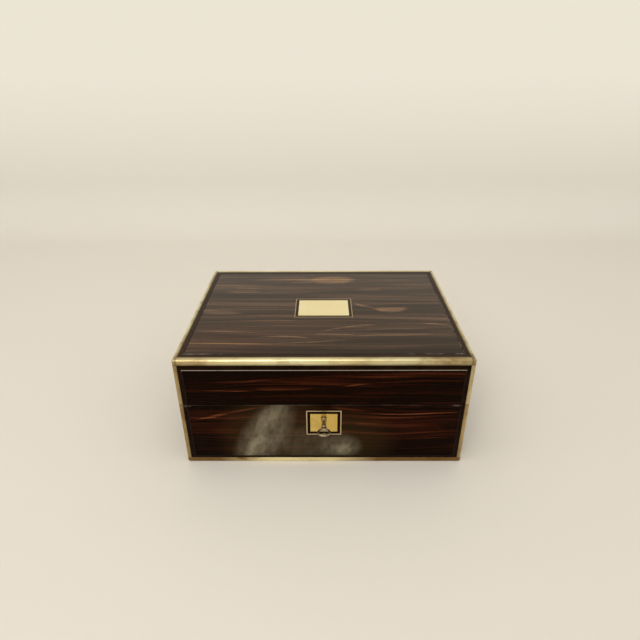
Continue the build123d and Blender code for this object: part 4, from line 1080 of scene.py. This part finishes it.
class BOX_OT_brass(bpy.types.Operator):
    """Brass binding, inlaid lines, plaque and escutcheon"""

    bl_idname = "box.brass"
    bl_label = "Brass binding and inlay"

    # Bright metal, worn metal and tarnish of each piece that differs from the rest.
    FOOT_TONES = (linear("FFF4C4"), linear("F0DCA4"), linear("7C5A2C"))
    LID_TONES = (linear("DACA9C"), linear("BEA878"), linear("6A4C22"))
    BASE_TONES = (linear("C8AE7C"), linear("A68A5A"), linear("60431C"))
    PLAQUE_TONES = (linear("FFF6CC"), linear("FBEDBC"), linear("DDC58C"))
    LOCK_TONES = (linear("EAD07A"), linear("D4AE58"), linear("A07A36"))
    # Middle of the polished stretch, its half length, where it is dull (mm), and how dull. The dark away
    # from the middle is partly tarnish and partly painted dark reflection; on the foot it is all painted
    # reflection. The uprights' grime also paints shade beside the wood.
    TOP_POLISH_AND_REFLECTION = (-30, 45, 165, 0.5)
    FOOT_PAINTED_REFLECTION = (-28, 36, 88, 0.95)
    UPRIGHT_WEAR_AND_REFLECTION = {"order": "ZXY", "grime_and_shade": 0.3, "polish_and_reflection": (60, 90, 200, 0.35)}

    def execute(self, context):
        settings = context.scene.box_case
        # The top binding's darker corner beside the wood is painted shade and dark reflection, with dirt.
        lid_top = {"grime_and_shade": 0.8, "polish_and_reflection": self.TOP_POLISH_AND_REFLECTION}
        foot = {"tarnished": 0.2, "polish_and_reflection": self.FOOT_PAINTED_REFLECTION}
        plaque = {"tarnished": 0.1, "roughness": 0.36}
        lock = {"tarnished": 0.3, "roughness": 0.32}
        self.brass("rubbed_brass_top", "lid_top_binding", brass_tones(settings), lid_top)
        self.brass("rubbed_brass_foot", "base_foot_binding", self.FOOT_TONES, foot)
        self.brass("brass_lid_uprights", "lid_corner_binding", self.LID_TONES, self.UPRIGHT_WEAR_AND_REFLECTION)
        self.brass("dull_brass_base_uprights", "base_corner_binding", self.BASE_TONES, self.UPRIGHT_WEAR_AND_REFLECTION)
        self.brass("lacquered_brass_plaque", "plaque_plate", self.PLAQUE_TONES, plaque)
        self.brass("rubbed_brass_escutcheon", "escutcheon_plate", self.LOCK_TONES, lock)
        bright, dark = tuple(settings.line_bright), tuple(settings.line_dark)
        line = material("inlaid_brass_line", lambda tree: inlaid_line(tree, bright, dark))
        dress(line, "lid_stringing", "base_stringing", "drawer_stringing")
        return {"FINISHED"}

    def brass(self, name, node, tones, wear):
        """Brass of its own tones and wear on one node."""
        dress(material(name, lambda tree: rubbed_brass(tree, tones, **wear)), node)


class BOX_OT_carcase(bpy.types.Operator):
    """Mahogany boards and the leather under the box"""

    bl_idname = "box.carcase"
    bl_label = "Carcase"

    def execute(self, context):
        along = material("waxed_mahogany", mahogany)
        across = material("waxed_mahogany_ends", lambda tree: mahogany(tree, "YXZ"))
        dress(along, "base_front_board", "base_back_board", "base_bottom_board", "dust_board")
        dress(along, "lid_top_board", "lid_front_board", "lid_back_board")
        dress(along, "drawer_side_boards", "drawer_bottom_board")
        dress(across, "base_left_board", "base_right_board", "lid_end_boards")
        dress(across, "drawer_front_board", "drawer_back_board")
        hide = material(
            "underside_skiver", lambda tree: leather(tree, linear("33201A"), linear("1C110E"))
        )
        dress(hide, "underside_leather")
        return {"FINISHED"}


class BOX_OT_locks(bpy.types.Operator):
    """Lock, bolt, link plate, hinges, screws, drop pin, spring, catch and key"""

    bl_idname = "box.locks"
    bl_label = "Lock, hinges and key"

    def execute(self, context):
        tones = brass_tones(context.scene.box_case)
        brass = material("filed_brass", lambda tree: rubbed_brass(tree, tones, tarnished=0.4))
        dress(brass, "lock_case", "lock_cap_plate", "link_plate", "mirror_catch")
        dress(brass, "hinge_base_leaves", "hinge_lid_leaves", "hinge_pins", "base_screws", "lid_screws")
        dress(brass, "drawer_spring", "drawer_pin")
        bright = material("ground_steel", lambda tree: steel(tree, linear("B9B6B0"), linear("8C8880")))
        dress(bright, "lock_bolt")
        handled = material("handled_steel", lambda tree: steel(tree, linear("BCAE94"), linear("75684F")))
        dress(handled, "key")
        return {"FINISHED"}


class BOX_OT_well(bpy.types.Operator):
    """Velvet linings and partitions of the well"""

    bl_idname = "box.well"
    bl_label = "Well"

    def execute(self, context):
        settings = context.scene.box_lining
        soft = lining_velvet("silk_velvet", settings)
        shells = [soft_block(*block) for block in self.blocks(settings.edge)]
        put_piece("velvet_well", shells, soft, "base", ["well_divider"])
        return {"FINISHED"}

    def blocks(self, edge):
        """The floor, then for each side its walls, its long partition and its two short ones, and
        last the partition behind the front box: two corners and a rounding each."""
        low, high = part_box("well_divider")
        floor = low.z + LINING
        top = high.z
        well_x, well_y = high.x - LINING, high.y - LINING
        column = well_x - BOTTLE_BAY
        row = well_y - BOTTLE_BAY
        thin = most_rounding(LINING)
        blocks = [((low.x, low.y, low.z), (high.x, high.y, floor), thin)]
        for side in (-1, 1):
            ends = sorted((side * well_y, side * high.y))
            blocks.append(((low.x, ends[0], floor), (high.x, ends[1], top), thin))
            ends = sorted((side * well_x, side * high.x))
            blocks.append(((ends[0], -well_y, floor), (ends[1], well_y, top), thin))
            ends = sorted((side * (column - SLAT), side * column))
            blocks.append(((ends[0], -well_y, floor), (ends[1], well_y, top), edge))
            outer = sorted((side * column, side * well_x))
            for end in (-1, 1):
                rows = sorted((end * (row - CROSS_SLAT), end * row))
                blocks.append(((outer[0], rows[0], floor), (outer[1], rows[1], top), edge))
        blocks.append(((-column + SLAT, -row, floor), (column - SLAT, -row + CROSS_SLAT, top), edge))
        return blocks


class BOX_OT_tray(bpy.types.Operator):
    """Lift-out tray with its compartments and the pad for the tools"""

    bl_idname = "box.tray"
    bl_label = "Lift-out tray"

    # Points across and along the pad, fine enough for its grooves.
    PAD_STEPS = (400, 12)

    def execute(self, context):
        settings = context.scene.box_lining
        soft = lining_velvet("tray_velvet", settings)
        low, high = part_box("lift_out_tray")
        deck = low.z + TRAY_BOARD
        inside = high.x - TRAY_BOARD
        back = high.y - TRAY_BOARD
        front = back - TOOL_BAY
        shells = [soft_block(*block, settings.edge) for block in self.blocks(deck, inside, front)]
        shells.append(self.pad(inside, front, back, deck))
        put_piece("velvet_tray", shells, soft, "base", ["lift_out_tray"])
        return {"FINISHED"}

    def blocks(self, deck, inside, pad_front):
        """Floor, front, back and sides, the partition before the pad and the one in the middle."""
        low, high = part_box("lift_out_tray")
        half = TRAY_BOARD / 2
        front = low.y + TRAY_BOARD
        back = high.y - TRAY_BOARD
        before_pad = pad_front - TRAY_BOARD
        return [
            ((low.x, low.y, low.z), (high.x, high.y, deck)),
            ((low.x, low.y, deck), (high.x, front, high.z)),
            ((low.x, back, deck), (high.x, high.y, high.z)),
            ((low.x, front, deck), (-inside, back, high.z)),
            ((inside, front, deck), (high.x, back, high.z)),
            ((-inside, before_pad, deck), (inside, pad_front, high.z)),
            ((-half, front, deck), (half, before_pad, high.z)),
        ]

    def pad(self, inside, front, back, deck):
        """A pad with a half-round groove for each tool: its height is the top less
        the square root of (groove radius squared - distance from the groove's line squared)."""
        top = tool_axis()
        x = np.linspace(-inside, inside, self.PAD_STEPS[0])
        y = np.linspace(front, back, self.PAD_STEPS[1])
        x = np.concatenate([[-inside], x, [inside]])
        y = np.concatenate([[front], y, [back]])
        nearest = np.min(np.abs(x[:, None] - np.array(tool_places())[None, :]), axis=1)
        depth = np.sqrt(np.maximum(GROOVE_RADIUS**2 - nearest**2, 0))
        z = np.broadcast_to(top - depth[None, :], (len(y), len(x))).copy()
        z[0] = z[-1] = deck
        z[:, 0] = z[:, -1] = deck
        points = np.stack([*np.meshgrid(x, y), z], axis=-1)
        rim = [0, len(x) - 1, len(x) * len(y) - 1, len(x) * (len(y) - 1)]
        return points, grid_faces(len(y), len(x), around=False) + [rim[::-1]]


def tool_places():
    """X of each tool."""
    first = -(TOOL_COUNT - 1) / 2 * TOOL_PITCH
    return [first + i * TOOL_PITCH for i in range(TOOL_COUNT)]


def tool_axis():
    """Height of the tools' axes."""
    low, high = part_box("tool_handles")
    return (low.z + high.z) / 2


class BOX_OT_tools(bpy.types.Operator):
    """Manicure tools: pearl handles and steel blades"""

    bl_idname = "box.tools"
    bl_label = "Tools"

    # Radius and distance from the butt of each handle's profile, in millimetres.
    HANDLE = (
        (0.6, 0.0), (1.9, 0.25), (2.6, 0.9), (2.9, 1.8), (2.5, 2.8), (2.1, 3.3), (2.7, 3.9), (2.1, 4.5),
        (2.3, 6.0), (2.9, 10.0), (3.2, 15.0), (3.2, 20.0), (2.9, 26.0), (2.3, 32.0), (1.9, 35.0),
        (2.3, 35.6), (2.3, 36.4), (1.9, 37.0), (2.2, 37.8), (2.2, 38.6), (1.7, 39.4), (1.6, 40.0),
    )
    # Length and width (mm), sharpness of the point and sideways hook (mm) of each blade.
    BLADES = (
        (32.0, 4.4, 2.0, 0.0), (26.0, 3.0, 6.0, 0.0), (34.0, 3.6, 1.2, 0.0),
        (30.0, 4.2, 3.0, 0.0), (28.0, 2.6, 8.0, 1.2), (33.0, 3.8, 1.6, 0.0),
    )

    def execute(self, context):
        shell = material("mother_of_pearl", pearl)
        metal = material("tool_steel", lambda tree: steel(tree, linear("D2D2D2"), linear("A8A8AA")))
        low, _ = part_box("tool_handles")
        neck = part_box("tool_blades")[0].y
        z = tool_axis()
        profile = np.array(self.HANDLE) * MM
        handles = [turned(profile, (x, low.y, z), sides=24, axis="Y") for x in tool_places()]
        blades = [self.blade(x, neck, z, *size) for x, size in zip(tool_places(), self.BLADES)]
        put_piece("pearl_handles", handles, shell, "base", ["tool_handles"])
        put_piece("tool_steels", blades, metal, "base", ["tool_blades"])
        return {"FINISHED"}

    def blade(self, x, start, z, length, width, point, hook):
        """A blade of lens section: its half width is half the width * (1 - t ^ point), and its middle
        lies hook * t ^ 4 aside, with t from 0 at the handle to 1 at the tip."""
        rows, sides = 24, 12
        t = np.linspace(0, 1, rows)[:, None]
        around = np.linspace(0, 2 * pi, sides, endpoint=False)[None, :]
        half = np.maximum(width / 2 * (1 - t**point), 0.15) * MM
        thick = (0.55 - 0.3 * t) * MM
        px = x + hook * MM * t**4 + half * np.cos(around)
        py = start + length * MM * t + 0 * around
        pz = z + thick * np.sin(around) * (1 - 0.5 * np.abs(np.cos(around)))
        points = np.stack([px, py, pz], axis=-1)
        ends = [list(range(sides)), list(range((rows - 1) * sides, rows * sides))]
        return points, grid_faces(rows, sides) + ends


class BOX_OT_glass(bpy.types.Operator):
    """Cut-glass bottles and boxes"""

    bl_idname = "box.glass"
    bl_label = "Glass"

    # Points along each side of a bottle, fine enough for its flutes.
    SIDE_STEPS = 48

    def execute(self, context):
        glass = material("cut_lead_glass", cut_glass)
        dress(glass, "glass_boxes")
        shells = [self.bottle(inside) for inside in openings("bottle_inside")]
        put_piece("cut_glass_bottles", shells, glass, "base", ["glass_bottles"], smooth=20)
        return {"FINISHED"}

    def bottle(self, inside):
        """A square bottle with a round neck and bore, as rings from its foot over the neck and down.

        On each side t runs from -1 to 1. A square ring lies at the half width less the inset and
        less the flutes, cut * (1 - cos(pi * flutes * (t + 1))) / 2, and bevels its corners where
        along and out add up to more than twice the half width less the bevel. A round ring has its
        own radius at the angle 45 degrees * t."""
        low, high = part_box("glass_bottles")
        shoulder = RIM_TOP + BOTTLE_PROUD
        t = np.linspace(-1, 1, self.SIDE_STEPS, endpoint=False)
        # Inset (mm), share of the flutes' depth, radius of a round ring, and level.
        rings = [
            (1.0, 0.0, 0.0, low.z),
            (0.0, 0.0, 0.0, low.z + 1.0 * MM),
            (0.0, 0.0, 0.0, low.z + 4.0 * MM),
            (0.0, 1.0, 0.0, low.z + 6.0 * MM),
            (0.0, 1.0, 0.0, shoulder - BOTTLE_BEVEL),
            (1.7, 1.0, 0.0, shoulder - BOTTLE_BEVEL * 0.66),
            (3.4, 0.8, 0.0, shoulder - BOTTLE_BEVEL * 0.32),
            (5.0, 0.3, 0.0, shoulder),
            (0.0, 0.0, BOTTLE_NECK, shoulder),
            (0.0, 0.0, BOTTLE_NECK, high.z),
            (0.0, 0.0, BOTTLE_BORE, high.z),
            (0.0, 0.0, BOTTLE_BORE, low.z + BOTTLE_FOOT),
        ]
        rows = [
            self.ring(t, inset * MM, share * FLUTE_DEPTH, radius) for inset, share, radius, _ in rings
        ]
        height = np.array([level for *_, level in rings])[:, None] + 0 * rows[0][0]
        x = np.stack([row[0] for row in rows])
        y = np.stack([row[1] for row in rows])
        middle = (np.array(inside[0]) + np.array(inside[1])) / 2
        points = np.stack([x + middle[0], y + middle[1], height], axis=-1)
        count = x.shape[1]
        ends = [list(range(count)), list(range((len(rings) - 1) * count, len(rings) * count))]
        return points, grid_faces(len(rings), count) + ends

    def ring(self, t, inset, cut, radius):
        """X and Y of one ring, round if it has a radius and square if not."""
        turns = [k * pi / 2 for k in range(4)]
        if radius:
            angle = np.concatenate([turn + t * pi / 4 for turn in turns])
            return radius * np.cos(angle), radius * np.sin(angle)
        half = BOTTLE_WIDTH / 2 - inset
        edge = BOTTLE_EDGE
        along = t * (half - edge / 2)
        flutes = cut * (1 - np.cos(pi * FLUTES * (t + 1))) / 2
        out = np.minimum(half - flutes, 2 * half - edge - np.abs(along))
        x = np.concatenate([out * np.cos(turn) - along * np.sin(turn) for turn in turns])
        y = np.concatenate([out * np.sin(turn) + along * np.cos(turn) for turn in turns])
        return x, y


class BOX_OT_silver(bpy.types.Operator):
    """Silver-plated tops of the bottles and lids of the glass boxes"""

    bl_idname = "box.silver"
    bl_label = "Silver tops"

    # Radius and height of a bottle top's profile in millimetres, from its seat to the crown.
    CAP = (
        (12.6, -5.0), (12.9, -4.6), (12.9, 0.0), (16.9, 0.0), (17.4, 0.35), (17.5, 0.9), (17.4, 1.45),
        (16.8, 1.8), (16.5, 2.1), (16.5, 2.6), (16.9, 2.9), (16.9, 3.0), (16.9, 7.6), (16.9, 7.7),
        (16.5, 8.0), (16.5, 8.4), (17.0, 8.8), (17.1, 9.4), (17.0, 10.0), (16.7, 11.2), (15.9, 12.9),
        (14.6, 14.3), (12.9, 15.1), (11.8, 15.3), (11.5, 15.05), (11.2, 15.3), (7.0, 15.85), (6.7, 15.6),
        (6.4, 15.85), (2.0, 15.98), (0.4, 16.0),
    )
    CAP_SIDES = 96
    # The band of reeds round a bottle top: from and to a height (mm), how many, and how deep.
    REEDED = (2.95, 7.65)
    REEDS = 48
    REED_DEPTH = 0.35 * MM
    # A box lid's profile in millimetres: how far in from its edge, and height over the glass.
    BOX_LID = (
        (4.2, -2.0), (4.2, 0.0), (0.3, 0.0), (0.0, 0.4), (0.0, 1.2), (0.4, 2.2), (1.4, 2.9), (3.0, 3.1),
        (3.4, 2.7), (3.9, 2.7), (4.3, 3.1), (7.0, 3.3), (7.3, 3.05), (7.8, 3.05), (8.1, 3.35),
        (10.0, 3.6),
    )
    # How far a box lid reaches past the hollow of its box: the glass wall and a tenth more.
    LID_REACH = 4.1 * MM

    def execute(self, context):
        plate = material("silver_plate", silver_plate)
        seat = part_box("silver_tops")[1].z - self.CAP[-1][1] * MM
        shells = [self.cap(inside, seat) for inside in openings("bottle_inside")]
        shells += [self.box_lid(inside) for inside in openings("box_inside")]
        put_piece("silver_caps", shells, plate, "base", ["silver_tops"])
        return {"FINISHED"}

    def cap(self, inside, seat):
        """A turned top with a reeded band, over the middle of one bottle."""
        (x0, y0, _), (x1, y1, _) = inside
        centre = ((x0 + x1) / 2, (y0 + y1) / 2, seat)
        profile = np.array(self.CAP) * MM
        band = np.array(self.REEDED) * MM
        return turned(profile, centre, self.CAP_SIDES, self.REEDS, self.REED_DEPTH, band)

    def box_lid(self, inside):
        """A flat lid with a rolled rim, a sunk border line and a raised panel."""
        low = np.array(inside[0][:2]) - self.LID_REACH
        high = np.array(inside[1][:2]) + self.LID_REACH
        glass_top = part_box("glass_boxes")[1].z
        profile = np.array(self.BOX_LID) * MM + np.array((0.0, glass_top))
        return rounded_rings(low, high, 2.0 * MM, profile)


class BOX_OT_mirror(bpy.types.Operator):
    """Bevelled mirror, its leather frame with two gilt lines, and the lid's lining"""

    bl_idname = "box.mirror"
    bl_label = "Mirror and lid lining"

    def execute(self, context):
        settings = context.scene.box_lining
        tones = tuple(settings.leather), tuple(settings.leather_deep)
        hide = material("morocco", lambda tree: leather(tree, *tones))
        self.pane()
        self.frame_moulding(hide)
        self.lining(hide, settings.edge)
        self.gilt_lines()
        return {"FINISHED"}

    def pane(self):
        """A pane whose visible face rises in a bevel 12 mm wide from its edges."""
        low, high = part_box("mirror_glass")
        bevel = 12.0 * MM
        rim = low.z + 1.2 * MM
        profile = ((0.0, high.z), (0.0, rim), (bevel, low.z + 0.02 * MM))
        shell = rounded_rings(low, high, 0.5 * MM, profile)
        silvered = material("silvered_glass", silvered_glass)
        put_piece("bevelled_mirror", [shell], silvered, "lid", ["mirror_glass"], smooth=2)

    def frame_moulding(self, hide):
        """The frame's section carried round with mitred corners: a cushion between two edges."""
        low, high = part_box("mirror_frame")
        inner = FRAME_WIDTH
        rebate = FRAME_WIDTH - FRAME_REBATE
        lip = low.z + FRAME_LIP - 0.05 * MM
        edge = 0.8 * MM
        swell = 1.3 * MM
        turn = np.linspace(0, pi, 13)
        cushion_in = edge + (inner - 2 * edge) * (1 - np.cos(turn)) / 2
        cushion_z = low.z + swell * (1 - np.sin(turn))
        profile = [(0.0, high.z), (0.0, low.z + 1.8 * MM), *zip(cushion_in, cushion_z)]
        profile += [(inner, lip), (rebate, lip), (rebate, high.z)]
        shell = rounded_rings(low, high, 1.0 * MM, profile, capped=False)
        put_piece("leather_mirror_frame", [shell], hide, "lid", ["mirror_frame"])

    def lining(self, hide, edge):
        """The lid's lined top and walls, and the block and the cleat that hold the mirror frame."""
        low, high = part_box("lid_lining")
        frame_low, frame_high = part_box("mirror_frame")
        well_x, well_y = high.x - LINING, high.y - LINING
        top = high.z - LINING
        thin = most_rounding(LINING)
        foot = low.z
        blocks = [((low.x, low.y, top), (high.x, high.y, high.z), thin)]
        for side in (-1, 1):
            ends = sorted((side * well_y, side * high.y))
            blocks.append(((low.x, ends[0], foot), (high.x, ends[1], top), thin))
            ends = sorted((side * well_x, side * high.x))
            blocks.append(((ends[0], -well_y, foot), (ends[1], well_y, top), thin))
        block_half = 12.0 * MM
        blocks.append(((-block_half, -well_y, frame_low.z), (block_half, frame_low.y, top), edge))
        cleat_half = 60.0 * MM
        cleat_front = frame_high.y - 4.0 * MM
        cleat_low = frame_low.z - 2.0 * MM
        blocks.append(((-cleat_half, cleat_front, cleat_low), (cleat_half, well_y, frame_low.z), edge))
        shells = [soft_block(*block) for block in blocks]
        put_piece("leather_lid_lining", shells, hide, "lid", ["lid_lining"])

    def gilt_lines(self):
        """Two tooled lines round the mirror frame, 0.6 mm wide."""
        low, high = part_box("mirror_frame")
        gold = material("tooled_gilding", gilding)
        width = 0.6 * MM
        level = low.z - 0.02 * MM
        sunk = level + 0.5 * MM
        shells = []
        for near in (3.2 * MM, 8.2 * MM):
            far = near + width
            profile = ((near, level), (far, level), (far, sunk), (near, sunk))
            shells.append(rounded_rings(low, high, 1.0 * MM, profile, capped=False))
        put_piece("gilt_lines", shells, gold, "lid")


class BOX_OT_drawer(bpy.types.Operator):
    """Velvet lining of the jewel drawer"""

    bl_idname = "box.drawer"
    bl_label = "Drawer lining"

    def execute(self, context):
        settings = context.scene.box_lining
        soft = lining_velvet("drawer_velvet", settings)
        low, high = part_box("drawer_lining")
        floor = low.z + DRAWER_VELVET
        blocks = [((low.x, low.y, low.z), (high.x, high.y, floor), most_rounding(DRAWER_VELVET))]
        bays = len(openings("drawer_bay"))
        pitch = (high.x - low.x) / bays
        half = DRAWER_DIVIDER / 2
        for i in range(1, bays):
            middle = low.x + i * pitch
            blocks.append(((middle - half, low.y, floor), (middle + half, high.y, high.z), settings.edge))
        shells = [soft_block(*block) for block in blocks]
        put_piece("velvet_drawer_lining", shells, soft, "drawer", ["drawer_lining"])
        return {"FINISHED"}


OPERATORS = (
    BOX_OT_stage, BOX_OT_veneer, BOX_OT_brass, BOX_OT_carcase, BOX_OT_locks, BOX_OT_well, BOX_OT_tray,
    BOX_OT_tools, BOX_OT_glass, BOX_OT_silver, BOX_OT_mirror, BOX_OT_drawer,
)
SETTINGS = {"box_stage": BoxStageSettings, "box_case": BoxCaseSettings, "box_lining": BoxLiningSettings}


class BOX_PT_panel(bpy.types.Panel):
    """Settings and operators of the dressing box"""

    bl_label = "Dressing Box"
    bl_space_type = "VIEW_3D"
    bl_region_type = "UI"
    bl_category = "Dressing Box"

    def draw(self, context):
        for attribute, group in SETTINGS.items():
            column = self.layout.column(align=True)
            for name in group.__annotations__:
                column.prop(getattr(context.scene, attribute), name)
        for operator in OPERATORS:
            self.layout.operator(operator.bl_idname)


def register():
    for group in SETTINGS.values():
        bpy.utils.register_class(group)
    for operator in OPERATORS:
        bpy.utils.register_class(operator)
    bpy.utils.register_class(BOX_PT_panel)
    for attribute, group in SETTINGS.items():
        setattr(bpy.types.Scene, attribute, bpy.props.PointerProperty(type=group))


def unregister():
    for attribute in SETTINGS:
        delattr(bpy.types.Scene, attribute)
    bpy.utils.unregister_class(BOX_PT_panel)
    for operator in reversed(OPERATORS):
        bpy.utils.unregister_class(operator)
    for group in SETTINGS.values():
        bpy.utils.unregister_class(group)


def main():
    """Build everything with the settings' defaults."""
    register()
    for operator in OPERATORS:
        family, name = operator.bl_idname.split(".")
        getattr(getattr(bpy.ops, family), name)()


if __name__ == "__main__":
    main()
